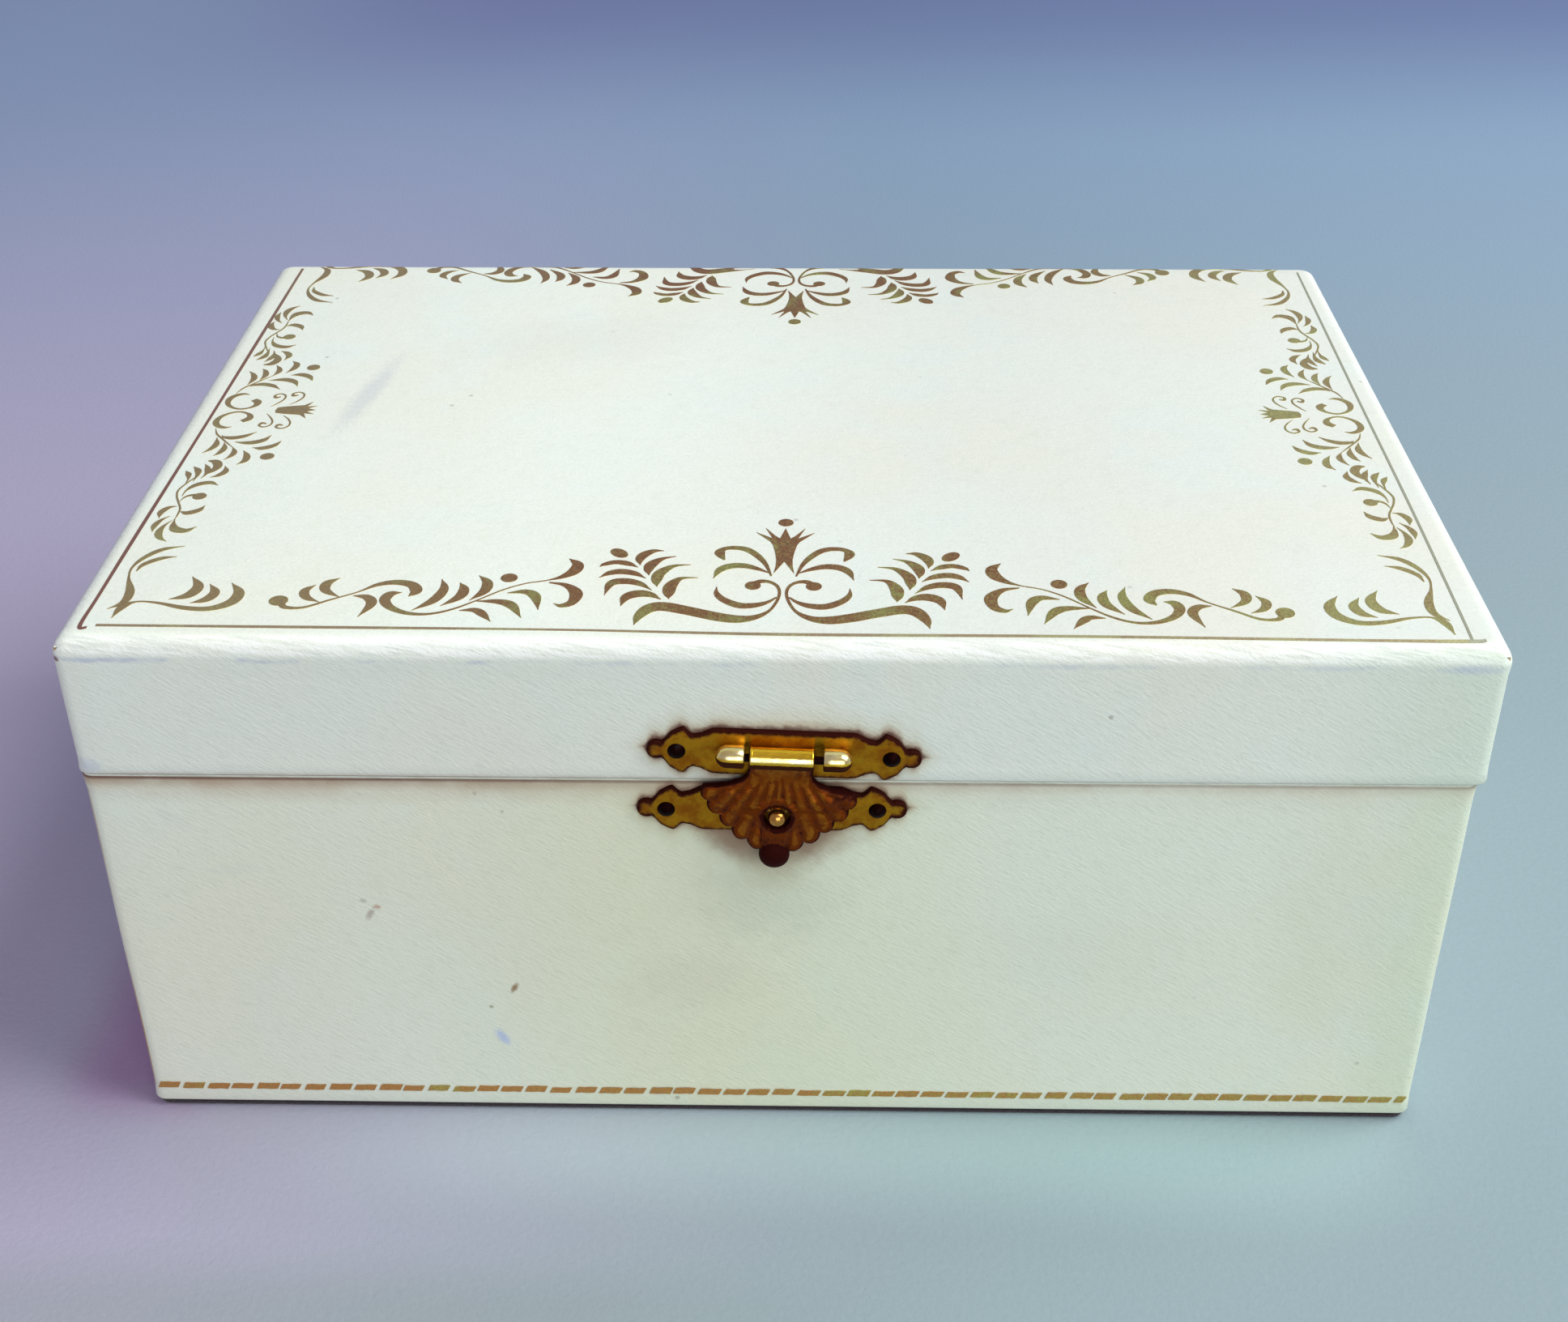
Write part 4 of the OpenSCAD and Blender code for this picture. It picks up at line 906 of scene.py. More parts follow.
# Strokes of the right half of the long bands: distances from the middle and the lid's edge, then widths
CENTRE_STROKES = [
    (((1.8, 19.2), (2.7, 22.5), (4.0, 25.0), (5.6, 26.8), (7.4, 27.3), (9.0, 26.9), (9.6, 25.6), (8.8, 23.6)),
     (0.3, 0.6, 0.9, 1.0, 0.9, 0.8, 1.3, 0.3)),
    (((2.0, 20.0), (3.9, 21.2), (5.9, 22.0), (7.9, 21.8), (9.4, 20.6), (10.2, 18.2)),
     (0.2, 0.7, 1.1, 1.2, 1.0, 0.1)),
    (((20.7, 5.2), (20.2, 7.5), (18.9, 9.6), (16.9, 10.2), (13.4, 9.2), (9.4, 7.8), (6.4, 7.2), (4.0, 7.7),
      (2.0, 9.4), (0.9, 12.0), (0.5, 14.5), (0.9, 16.4), (2.0, 17.5), (3.4, 17.6), (4.4, 16.6)),
     (0.1, 1.2, 1.8, 1.9, 1.8, 1.8, 1.6, 1.0, 0.5, 0.45, 0.45, 0.5, 0.6, 0.8, 0.9)),
    (((9.6, 15.9), (9.5, 14.0), (8.4, 12.3), (6.2, 10.9), (4.0, 11.0), (2.2, 11.9), (0.9, 13.3)),
     (0.1, 0.7, 1.0, 1.2, 1.0, 0.6, 0.3))]
FEATHER_STROKES = [
    (((12.4, 18.3), (14.9, 18.0), (16.2, 16.0), (16.4, 14.0), (16.3, 12.3)), (0.1, 0.6, 1.3, 1.2, 0.1)),
    (((13.7, 22.0), (16.2, 21.5), (18.0, 19.5), (18.4, 17.5), (18.2, 15.6)), (0.1, 0.6, 1.2, 1.1, 0.1)),
    (((16.0, 24.4), (18.0, 23.6), (19.4, 22.0), (19.8, 20.5), (19.6, 18.8)), (0.1, 0.6, 1.2, 1.0, 0.1)),
    (((17.9, 26.0), (19.4, 25.9), (20.8, 24.7), (21.3, 23.3), (21.1, 21.7)), (0.1, 0.7, 1.1, 0.9, 0.1)),
    (((21.4, 21.0), (22.9, 22.0), (24.7, 22.4), (26.4, 21.7), (27.0, 21.0)), (0.1, 0.8, 0.8, 0.6, 0.1)),
    (((20.0, 17.9), (21.7, 19.2), (23.7, 19.7), (25.4, 19.2), (26.8, 17.9)), (0.1, 0.8, 1.0, 0.8, 0.1)),
    (((18.9, 14.6), (20.7, 16.3), (22.9, 17.0), (24.9, 16.3), (25.6, 13.1)), (0.1, 0.8, 1.1, 1.0, 0.1)),
    (((17.4, 12.1), (18.9, 13.3), (20.7, 13.6), (22.4, 12.6), (23.0, 10.2)), (0.1, 0.9, 1.3, 1.1, 0.1))]
SPRAY_STROKES = [
    (((31.7, 23.2), (30.3, 21.5), (30.7, 19.5), (32.4, 17.8), (34.4, 16.8)), (0.1, 1.4, 1.5, 0.7, 0.2)),
    (((34.4, 16.8), (37.4, 15.8), (40.4, 13.8), (43.4, 11.0), (46.4, 8.5), (49.4, 7.1), (52.4, 7.2),
      (54.9, 8.6), (56.1, 10.6), (55.6, 12.3), (54.1, 12.8)),
     (0.25, 0.25, 0.3, 0.3, 0.4, 0.5, 0.7, 1.0, 1.3, 1.2, 0.1)),
    (((33.9, 16.3), (31.4, 15.6), (29.7, 13.5), (30.0, 11.0), (31.4, 10.0), (32.6, 10.5)),
     (0.3, 0.8, 1.6, 1.2, 0.8, 0.1)),
    (((39.4, 13.2), (36.9, 13.6), (35.4, 12.3), (34.6, 8.8)), (0.2, 1.0, 1.3, 0.1)),
    (((43.4, 10.8), (40.4, 10.8), (38.4, 9.8), (36.7, 6.6)), (0.2, 1.0, 1.3, 0.1)),
    (((45.4, 8.2), (43.4, 8.4), (42.2, 7.5), (40.7, 5.4)), (0.2, 0.9, 1.1, 0.1)),
    (((44.0, 17.9), (42.6, 16.0), (42.7, 13.6), (44.4, 11.0)), (0.1, 1.2, 1.2, 0.1)),
    (((46.4, 15.8), (45.6, 14.0), (46.0, 11.8), (48.2, 9.3)), (0.1, 1.2, 1.2, 0.1)),
    (((49.1, 16.7), (48.4, 14.0), (49.4, 10.8), (51.9, 8.0)), (0.1, 1.1, 1.2, 0.1)),
    (((53.0, 11.8), (52.2, 13.3), (53.1, 15.0), (55.4, 15.6), (57.9, 14.8), (60.4, 12.6), (63.9, 10.3),
      (66.9, 8.3), (69.4, 8.2), (70.4, 9.4)), (0.2, 1.4, 1.3, 1.1, 0.7, 0.3, 0.4, 0.5, 0.7, 0.9)),
    (((60.7, 11.7), (58.7, 11.3), (57.8, 9.5), (59.0, 6.0)), (0.2, 1.1, 1.2, 0.1))]
BALL_STROKES = [
    (((64.4, 16.5), (65.9, 15.0), (65.7, 13.0), (63.4, 11.2)), (0.1, 1.2, 1.1, 0.1)),
    (((67.4, 14.5), (68.6, 12.8), (68.0, 11.0), (66.0, 9.8)), (0.1, 1.1, 1.0, 0.1))]
CORNER_STROKES = [
    (((78.4, 14.6), (76.8, 12.0), (77.3, 9.3), (79.9, 7.5), (83.4, 7.6), (87.4, 8.8), (90.4, 9.0), (92.0, 7.5),
      (92.6, 4.5)), (0.1, 1.3, 1.4, 1.0, 0.8, 0.5, 0.4, 1.0, 0.1)),
    (((81.4, 14.2), (80.2, 12.0), (80.9, 10.0), (82.9, 8.9)), (0.1, 1.2, 1.2, 0.1)),
    (((84.4, 16.2), (82.9, 13.5), (83.7, 11.0), (86.1, 9.8)), (0.1, 1.3, 1.3, 0.1))]
STEM_STROKES = [
    (((93.4, 8.2), (91.7, 10.0), (91.6, 13.0), (92.9, 17.0), (93.3, 20.0), (92.4, 23.0), (90.4, 25.5),
      (87.4, 26.6)), (0.1, 0.9, 1.1, 0.4, 0.4, 0.7, 0.8, 0.1)),
    (((92.4, 19.0), (91.9, 21.0), (89.9, 22.8), (87.7, 23.4)), (0.2, 0.7, 0.8, 0.1))]
# Dots: place, the two radii and the turn
CENTRE_DOTS = [(4.4, 16.4, 1.15, 1.15, 0)]
FEATHER_DOTS = [(24.5, 25.1, 1.35, 0.9, 45)]
SPRAY_DOTS = [(39.7, 17.4, 1.2, 1.2, 0), (70.8, 10.0, 1.35, 1.35, 0)]
TULIP = [(0.0, 33.6), (0.8, 30.4), (1.5, 31.2), (3.0, 33.6), (1.9, 30.4), (4.4, 32.2), (2.2, 29.4),
         (1.8, 28.4), (1.4, 26.0), (1.2, 24.0), (1.25, 22.0), (1.5, 20.0), (0.8, 21.6), (0.0, 23.5)]
TULIP_DOT = (0.0, 35.4, 1.15, 1.15)
# The same for half a side motif: distances along the edge from its middle, and from the edge
SIDE_STROKES = [
    (((2.2, 17.2), (3.4, 18.2), (4.9, 18.9), (6.3, 18.8), (7.1, 17.9), (6.6, 16.9), (5.7, 17.1), (5.9, 17.9)),
     (0.1, 0.3, 0.35, 0.35, 0.35, 0.4, 0.55, 0.3)),
    (((1.4, 14.2), (2.8, 15.1), (4.4, 15.8), (5.8, 15.7), (6.5, 14.8), (5.9, 13.9), (5.0, 14.2), (5.3, 15.0)),
     (0.1, 0.3, 0.35, 0.35, 0.35, 0.4, 0.55, 0.3)),
    (((4.2, 10.6), (3.3, 11.5), (2.1, 11.5), (1.1, 10.7), (0.55, 9.3), (1.1, 7.8), (2.5, 6.6), (4.4, 6.3),
      (5.9, 7.0), (6.6, 8.3), (6.3, 9.4)), (0.9, 1.1, 0.8, 0.5, 0.45, 0.5, 0.7, 0.9, 0.8, 0.6, 0.1)),
    (((6.8, 6.9), (8.9, 7.6), (10.7, 8.9), (12.5, 10.3), (14.1, 11.6)), (0.1, 0.35, 0.35, 0.3, 0.1)),
    (((8.4, 14.1), (9.8, 12.6), (10.5, 10.8), (10.2, 9.2), (9.6, 8.6)), (0.1, 0.8, 1.0, 0.6, 0.1)),
    (((9.6, 16.9), (11.4, 16.0), (12.3, 14.4), (12.3, 12.6), (12.0, 11.4)), (0.1, 0.9, 1.1, 0.6, 0.1)),
    (((11.9, 19.0), (13.5, 18.1), (14.4, 16.5), (14.2, 14.8)), (0.2, 0.9, 1.0, 0.1)),
    (((15.2, 13.6), (17.1, 14.6), (18.9, 14.7), (20.2, 13.7)), (0.1, 0.9, 0.9, 0.1)),
    (((13.9, 11.5), (15.7, 12.2), (17.1, 12.0), (18.5, 11.2)), (0.1, 0.8, 0.7, 0.1)),
    (((12.2, 9.7), (14.3, 10.2), (16.0, 9.8), (17.0, 9.1)), (0.1, 0.85, 0.7, 0.1)),
    (((10.3, 8.0), (12.8, 8.5), (14.6, 8.0), (16.0, 7.0)), (0.1, 0.9, 0.7, 0.1)),
    (((20.7, 12.0), (22.5, 12.5), (23.9, 11.8), (24.7, 10.6)), (0.1, 0.9, 0.8, 0.1)),
    (((18.8, 8.8), (19.2, 10.1), (20.7, 10.8), (22.3, 10.4), (23.6, 9.7)), (0.3, 1.1, 1.2, 0.8, 0.1)),
    (((20.0, 8.6), (21.6, 9.4), (23.4, 9.6), (25.0, 9.2)), (0.1, 0.8, 0.5, 0.1)),
    (((20.9, 7.0), (22.2, 8.0), (23.7, 8.3), (26.0, 8.2)), (0.2, 0.9, 0.6, 0.1)),
    (((22.4, 6.1), (23.5, 6.8), (25.0, 7.2), (26.8, 7.2)), (0.2, 0.8, 0.4, 0.1)),
    (((23.9, 8.6), (26.0, 7.6), (28.9, 6.7), (31.0, 7.0), (32.8, 7.7), (35.0, 8.6), (37.1, 8.8), (38.9, 8.7)),
     (0.2, 0.3, 0.35, 0.35, 0.35, 0.35, 0.3, 0.1)),
    (((27.4, 12.6), (26.5, 11.0), (27.2, 9.1), (29.0, 8.0), (31.0, 7.8)), (0.1, 0.9, 0.9, 0.4, 0.1)),
    (((31.0, 10.6), (30.7, 9.4), (31.3, 8.4), (32.8, 7.9)), (0.9, 0.6, 0.4, 0.1)),
    (((34.2, 12.3), (35.7, 11.7), (36.6, 10.2), (36.1, 9.0)), (0.1, 0.9, 1.0, 0.2)),
    (((34.4, 8.0), (34.8, 6.8), (36.3, 6.0), (38.2, 6.2)), (0.1, 0.7, 0.9, 0.1)),
    (((41.1, 12.8), (42.3, 11.4), (41.8, 9.7), (40.3, 9.0), (38.6, 8.8)), (0.1, 1.0, 1.3, 0.7, 0.1)),
    (((39.0, 8.4), (41.0, 7.6), (43.0, 7.5), (44.6, 8.2), (45.6, 9.4)), (0.1, 0.6, 1.0, 0.7, 0.1)),
    (((37.6, 7.7), (38.9, 6.7), (40.7, 6.2), (42.6, 6.4)), (0.1, 0.6, 0.8, 0.1))]
SIDE_DOTS = [(17.4, 18.0, 1.15, 1.15, 0), (31.1, 10.6, 1.1, 1.1, 0)]
SIDE_TULIP = [(0.0, 22.1), (0.6, 20.7), (1.6, 22.1), (1.3, 20.4), (3.2, 21.1), (1.85, 19.8), (1.65, 18.5),
              (1.4, 16.9), (1.0, 15.5), (0.0, 15.3)]
# Border line: pairs of x and the distance from the lid's front edge, for the front, left and right runs
FRONT_LINE = [(-95.6, 4.15), (-60, 3.95), (-30, 3.75), (0, 2.95), (40, 2.95), (80, 2.5), (95.5, 2.45),
              (97.7, 2.7)]
LEFT_LINE = [(-96.7, 3.5), (-97.8, 4.0), (-97.7, 12), (-97.5, 30), (-96.9, 70), (-96.5, 105), (-96.1, 138.4)]
RIGHT_LINE = [(95.8, 2.6), (96.0, 12), (96.5, 40), (96.8, 75), (97.2, 110), (97.5, 138)]

MOTIF_X = 0.6             # middle of the long bands
FEATHER_SCALE = 1.18      # their feathers' strokes are broader than drawn
FRONT_SHIFT = -0.5        # how much nearer its edge the front band lies than drawn
LEFT_RISE = 0.022         # its left half runs askew to the lid's edge
LEFT_STRETCH, STRETCH_FROM = 0.034, 35    # and is a little longer than the right, from this far out
BACK_SHIFT = 5.7          # how much nearer its edge the back band lies than drawn
SIDE_V = 73.9             # middle of the side motifs, from the lid's front edge
SIDE_SLIP = 0.25          # how much further to the left both side motifs lie than drawn
# How far the ball, corner and stem motifs of the front band lie from where they are drawn: out, and inward
LEFT_MOVES = ((-0.9, 0), (0, 0), (0.5, -1.25))
RIGHT_MOVES = ((0, 0), (0.6, 0), (0, 0))
NO_MOVES = ((0, 0), (0, 0), (0, 0))


def on_lid(x, y):
    """Point and way out of the lid's top, or None where the edge has turned away."""
    from_side, from_end = LID_HALF[0] - abs(x), LID_HALF[1] - abs(y)
    inset = min(from_side, from_end)
    if inset < 0.8:
        return None
    out = np.array((0.0, 0.0, 1.0))
    if inset < EDGE_R:
        lean = (EDGE_R - inset) / EDGE_R
        side = (math.copysign(1, x), 0) if from_side < from_end else (0, math.copysign(1, y))
        out = np.array((side[0] * lean, side[1] * lean, math.sqrt(1 - lean ** 2)))
    return (x, y, lid_top(x, y)), out


def front_place(u, v):
    """Where the front band's drawing lies on the lid."""
    drawn_out = LEFT_STRETCH * max(0, -u - STRETCH_FROM)
    return on_lid(MOTIF_X + u - drawn_out, -LID_HALF[1] + v + FRONT_SHIFT + LEFT_RISE * max(0, -u))


def back_place(u, v):
    """Where the back band's drawing lies on the lid."""
    return on_lid(MOTIF_X + u, LID_HALF[1] - v + BACK_SHIFT)


def left_place(u, v):
    """Where the left motif's drawing lies on the lid."""
    return on_lid(-(LID_HALF[0] - v + SIDE_SLIP), -LID_HALF[1] + SIDE_V + u)


def right_place(u, v):
    """Where the right motif's drawing lies on the lid."""
    return on_lid(LID_HALF[0] - v - SIDE_SLIP, -LID_HALF[1] + SIDE_V + u)


def on_front(u, v):
    """Point and way out of the box's front."""
    return (u, -BOX_HALF[1], v), np.array((0.0, -1.0, 0.0))


for name, place, moves in (("tooling_front", front_place, (LEFT_MOVES, RIGHT_MOVES)),
                           ("tooling_back", back_place, (NO_MOVES, NO_MOVES))):
    tool = Tooling(place)
    for side, shifts in zip((-1, 1), moves):
        tool.half(side, CENTRE_STROKES, CENTRE_DOTS)
        tool.half(side, FEATHER_STROKES, FEATHER_DOTS, FEATHER_SCALE)
        tool.half(side, SPRAY_STROKES, SPRAY_DOTS)
        for strokes, shift in zip((BALL_STROKES, CORNER_STROKES, STEM_STROKES), shifts):
            tool.half(side, strokes, shift=shift)
    tool.flower(TULIP)
    tool.dot(*TULIP_DOT)
    tool.finish(name, "lid", FOIL)

for name, place in (("tooling_left", left_place), ("tooling_right", right_place)):
    tool = Tooling(place)
    for side in (-1, 1):
        tool.half(side, SIDE_STROKES, SIDE_DOTS)
    tool.flower(SIDE_TULIP)
    tool.finish(name, "lid", FOIL)

line = Tooling(on_lid)
for run, width in ((FRONT_LINE, 0.52), (LEFT_LINE, 0.52), (RIGHT_LINE, 0.40)):
    swell = [width * (1 + 0.12 * math.sin(2.3 * k)) for k in range(8)]
    line.stroke([(x, -LID_HALF[1] + v) for x, v in run], swell)
line.finish("tooling_border", "lid", FOIL_LINE)

# Dashes along the foot of the front
random_dash = random.Random(11)
DASH_COUNT = 51
DASH_PITCH, DASH_LENGTH, DASH_HEIGHT, DASH_SLANT = 3.95, 3.3, 1.15, 0.55
DASH_FROM, DASH_TO = BOX_LO[0] + 1.3, BOX_HI[0] - 1.1
DASH_RISE = 2.85          # from the foot of the covering
DASH_FALL = 0.00125       # how much lower the row runs for each millimetre to the right
dashes = Tooling(on_front)
for k in range(DASH_COUNT):
    x0 = DASH_FROM + k * DASH_PITCH + random_dash.uniform(-0.12, 0.12)
    long = min(DASH_LENGTH * random_dash.uniform(0.92, 1.04), DASH_TO - x0 - DASH_SLANT)
    z0 = BOX_Z0 + DASH_RISE - DASH_FALL * (x0 + 100) + random_dash.uniform(-0.08, 0.08)
    h = DASH_HEIGHT * random_dash.uniform(0.88, 1.1)
    foot = [(x0 + long * t, z0 + 0.05 * math.sin(9 * t + k)) for t in (0, 0.33, 0.67, 1)]
    head = [(x0 + DASH_SLANT + long * t, z0 + h + 0.05 * math.sin(7 * t + 2 * k)) for t in (1, 0.67, 0.33, 0)]
    dashes.shape(foot + head)
dashes.finish("tooling_dashes", "box", FOIL_DASH)


# ---------------------------------------------------------------- the latch
PLATE_T, PLATE_BEVEL = 0.8, 0.32
PLATE_STEPS, PLATE_ACROSS = 92, 12
LID_FRONT, BOX_FRONT = -LID_HALF[1], -BOX_HALF[1]
BARREL_R = 1.6
BARREL_Y = box_mm("hasp")[0][1] + BARREL_R
PIN_RISE = 0.6                            # how far the pin lies above the plate's middle
LUG_FROM, LUG_LEN, LUG_STEPS = 5.6, 2.4, 28
HASP_T = 0.9
HASP_BACK_Y = LID_FRONT - 1.05
HASP_TILT = LATCH_TILT + 1.9              # the shell leans a little more than the plate
HASP_SLIP = -0.3                          # and stands a little to the left
HASP_AT = (LATCH_X + HASP_SLIP, LATCH_Z + 0.0115)
# The hasp's own plan: x from its middle, z up from the pivot
NECK_HALF = 4.6
STUD_DROP = 10.0                          # from the pivot down to the hole
HOLE_R = 1.95
KNOB_Z, KNOB_R = -16.8, 2.25
FAN_Z = 2.5                               # where the flutes meet, above the pivot
FLUTES = 37.1                             # how closely they follow each other over the fan's angle
HASP_HALF_OUTLINE = [
    (NECK_HALF, 0.95), (NECK_HALF, -2.6), (4.8, -3.3), (5.5, -4.0), (7.4, -4.9), (9.4, -5.3), (11.0, -5.5),
    (11.2, -6.3), (10.6, -7.1), (9.5, -7.9), (7.3, -10.5), (5.0, -13.0), (2.5, -14.9), (1.7, -17.0)]
# Scallops: middle and radius
HASP_LOBES = [(10.1, -6.6, 1.15), (8.6, -8.5, 1.65), (6.6, -10.6, 1.75), (4.7, -12.7, 1.75),
              (2.6, -14.4, 1.55), (0.0, KNOB_Z, KNOB_R)]


def plate_points():
    """Stamped plate standing in x and z with its back on y = 0: points, faces and nearness to the border,
    which darkens the brass as patina and painted shade.
    """
    turns = [math.pi / 2 * k / PLATE_STEPS for k in range(PLATE_STEPS + 1)]
    xs = sorted({round(PLATE_HALF * math.sin(a), 4) for a in turns})
    xs = [-x for x in reversed(xs[1:])] + xs
    points, rim = [], []
    for x in xs:
        h = plate_height(x)
        for k in range(PLATE_ACROSS + 1):
            t = -1 + 2 * k / PLATE_ACROSS
            t = math.copysign(1 - (1 - abs(t)) ** 1.6, t)
            gap = min((1 - abs(t)) * h, PLATE_HALF - abs(x))
            points.append((x, -(PLATE_T - PLATE_BEVEL * round_off(gap, PLATE_BEVEL)), t * h))
            # Patina and painted shade along the plate's border, wider on the nubs
            rim.append(max(0.0, 1 - gap / (1.45 if abs(x) < 17 else 2.2)))
        points += [(x, 0, h), (x, 0, -h)]
        rim += [1, 1]
    columns = PLATE_ACROSS + 3
    return points, loop_faces(len(xs), columns) + end_faces(len(xs), columns), rim


def placed(points, centre, tilt):
    """Points turned about Y (right side down) and moved to a centre."""
    c, s = math.cos(math.radians(tilt)), math.sin(math.radians(tilt))
    return [(centre[0] + c * x + s * z, centre[1] + y, centre[2] - s * x + c * z) for x, y, z in points]


def lathe_x(profile, steps):
    """Points of a solid of revolution about X: profile is (x, radius)."""
    turns = [2 * math.pi * k / steps for k in range(steps)]
    return [(x, r * math.cos(a), r * math.sin(a)) for x, r in profile for a in turns]


def make_plates():
    """The catch plate, and the latch plate with its two bullet-ended lugs."""
    points, faces, rim = plate_points()
    catch = add_piece("catch_plate_stamped", placed(points, (CATCH_X, BOX_FRONT, CATCH_Z), 0), faces,
                      PLATE_BRASS, "box", "brass", replaces=["catch_plate"], rim=rim)
    sharpen(outward(catch), 50)
    material = [0] * len(faces)
    dome = [(LUG_FROM + LUG_LEN + BARREL_R * 1.05 * math.sin(a), BARREL_R * math.cos(a))
            for a in np.linspace(0, math.pi / 2, 9)]
    profile = [(LUG_FROM, 0.62), (LUG_FROM, 1.42), (LUG_FROM + 0.06, 1.52), (LUG_FROM + 0.18, BARREL_R),
               (LUG_FROM + 1.3, BARREL_R)] + dome[:-1] + [(dome[-1][0], 0.02)]
    depth = BARREL_Y - LID_FRONT
    last = (len(profile) - 1) * LUG_STEPS
    lug_faces = loop_faces(len(profile), LUG_STEPS)
    lug_faces += [tuple(range(LUG_STEPS)), tuple(range(last, last + LUG_STEPS))]
    for side in (-1, 1):
        lug = lathe_x([(side * x, r) for x, r in profile], LUG_STEPS)
        faces += offset(lug_faces, len(points))
        points += [(x, depth + (y * 1.25 if y > 0 else y), z + PIN_RISE) for x, y, z in lug]
        # Painted shade: the lugs dark on their lower halves
        rim += [0.95 * smooth_step((0.5 - z) / 0.5) for x, y, z in lug]
        material += [1] * len(lug_faces)
    upper = add_piece("latch_plate_stamped", placed(points, (LATCH_X, LID_FRONT, LATCH_Z), LATCH_TILT), faces,
                      [PLATE_BRASS, BRIGHT_BRASS], "lid", "brass", replaces=["latch_plate"],
                      face_material=material, rim=rim)
    sharpen(outward(upper), 50)


def hasp_reach(angle):
    """Distance from the hole's centre to the hasp's outline, the right half and its mirror image."""
    d = np.array((abs(math.cos(angle)), math.sin(angle)))
    origin = np.array((0.0, -STUD_DROP))
    best = 2.6
    outline = [(0, 0.95)] + HASP_HALF_OUTLINE + [(0, -17.2)]
    for p, q in zip(outline, outline[1:]):
        p, q = np.array(p) - origin, np.array(q) - origin
        e = q - p
        cross = d[0] * e[1] - d[1] * e[0]
        if abs(cross) < 1e-9:
            continue
        t = (p[0] * e[1] - p[1] * e[0]) / cross
        s = (p[0] * d[1] - p[1] * d[0]) / cross
        if t > 0 and -1e-9 <= s <= 1 + 1e-9:
            best = max(best, t)
    for cx, cz, r in HASP_LOBES:
        c = np.array((cx, cz)) - origin
        along = float(c @ d)
        off = float(c @ c) - along ** 2
        if off < r * r and along + math.sqrt(r * r - off) > 0:
            best = max(best, along + math.sqrt(r * r - off))
    return best


def fan_angle(x, z):
    """Angle from the shell's middle line, seen from where its flutes meet."""
    return abs(math.atan2(x, FAN_Z - z))


def hasp_flute(fan):
    """Fluting of the shell across its fan: 1 on a crest and 0 in a groove; each crest ends in one scallop."""
    return (0.5 + 0.5 * math.cos((fan - 0.150) * FLUTES)) ** 0.7


def nose_half(z):
    """Half width of the ridge that runs from the hole to the knob."""
    return 2.25 - 0.06 * max(0.0, -z - STUD_DROP)


def hasp_grime(x, z, gap):
    """How dark the shell is: dirt in its grooves, dark lines along the nose, darker down the nose to the dark
    knob, darker over the right lobe, mottling, and dirt with painted shadow round the hole and at its border.
    """
    fan = fan_angle(x, z)
    away = math.hypot(x, z + STUD_DROP)
    groove = (1 - hasp_flute(fan)) ** 2 * smooth_step((-z - 3.0) / 3.0) * smooth_step((away - 2.8) / 0.6)
    # Painted shadow with dirt round the hole
    ring = smooth_step((3.1 - away) / 0.8)
    nose = smooth_step(1 - abs(abs(x) - nose_half(z) - 0.05) / 0.5) * (z < -STUD_DROP)
    knob = 1.15 * smooth_step((2.7 - math.hypot(x, z - KNOB_Z)) / 0.6)
    on_nose = 0.62 * smooth_step((nose_half(z) - abs(x)) / 0.3) * smooth_step((-z - STUD_DROP - 2.0) / 2.0)
    mottle = 0.35 * max(0.0, ripple(x, 0, z, 0.9) + 0.5 * ripple(x, 7, z, 2.1))
    # Darker over the right lobe
    right_lobe_darker = smooth_step((x - 5.8) / 2.6) * smooth_step((z + 9.2) / 2.0) * (0.56 + 0.5 * ripple(x, 2, z, 1.1))
    return max(0.65 * groove + mottle, right_lobe_darker, 0.85 * ring, 0.70 * nose, on_nose, knob, 1 - gap / 1.1, 0.0)


def hasp_relief(x, z, gap):
    """How far the stamped shell stands out, at a point below the pivot and at a distance from its border."""
    fan = fan_angle(x, z)
    away = math.hypot(x, z + STUD_DROP)
    below = smooth_step((-z - 3.5) / 3.0)
    flutes = 0.34 * hasp_flute(fan) * below * smooth_step((away - 2.8) / 1.0)
    flutes += 0.10 * below * ripple(x, 3, z, 0.8)
    boss = 0.42 * smooth_step((3.5 - away) / 1.0)
    nose = 0.6 * smooth_step((nose_half(z) - abs(x)) / 0.6)
    nose *= smooth_step((-z - STUD_DROP) / 0.6) * smooth_step((z - KNOB_Z - 0.9) / 1.2)
    tip = math.hypot(x, z - KNOB_Z) / (KNOB_R + 0.05)
    knob = 1.25 * math.sqrt(1 - tip ** 2) if tip < 1 else 0.0
    ridge = 0.16 * smooth_step(1 - abs(gap - 0.75) / 0.55)
    neck = 0.6 * smooth_step((z + 3.0) / 2.6)
    return max(flutes, ridge * below, boss, nose, knob) + neck + 0.12 * smooth_step(gap / 4)


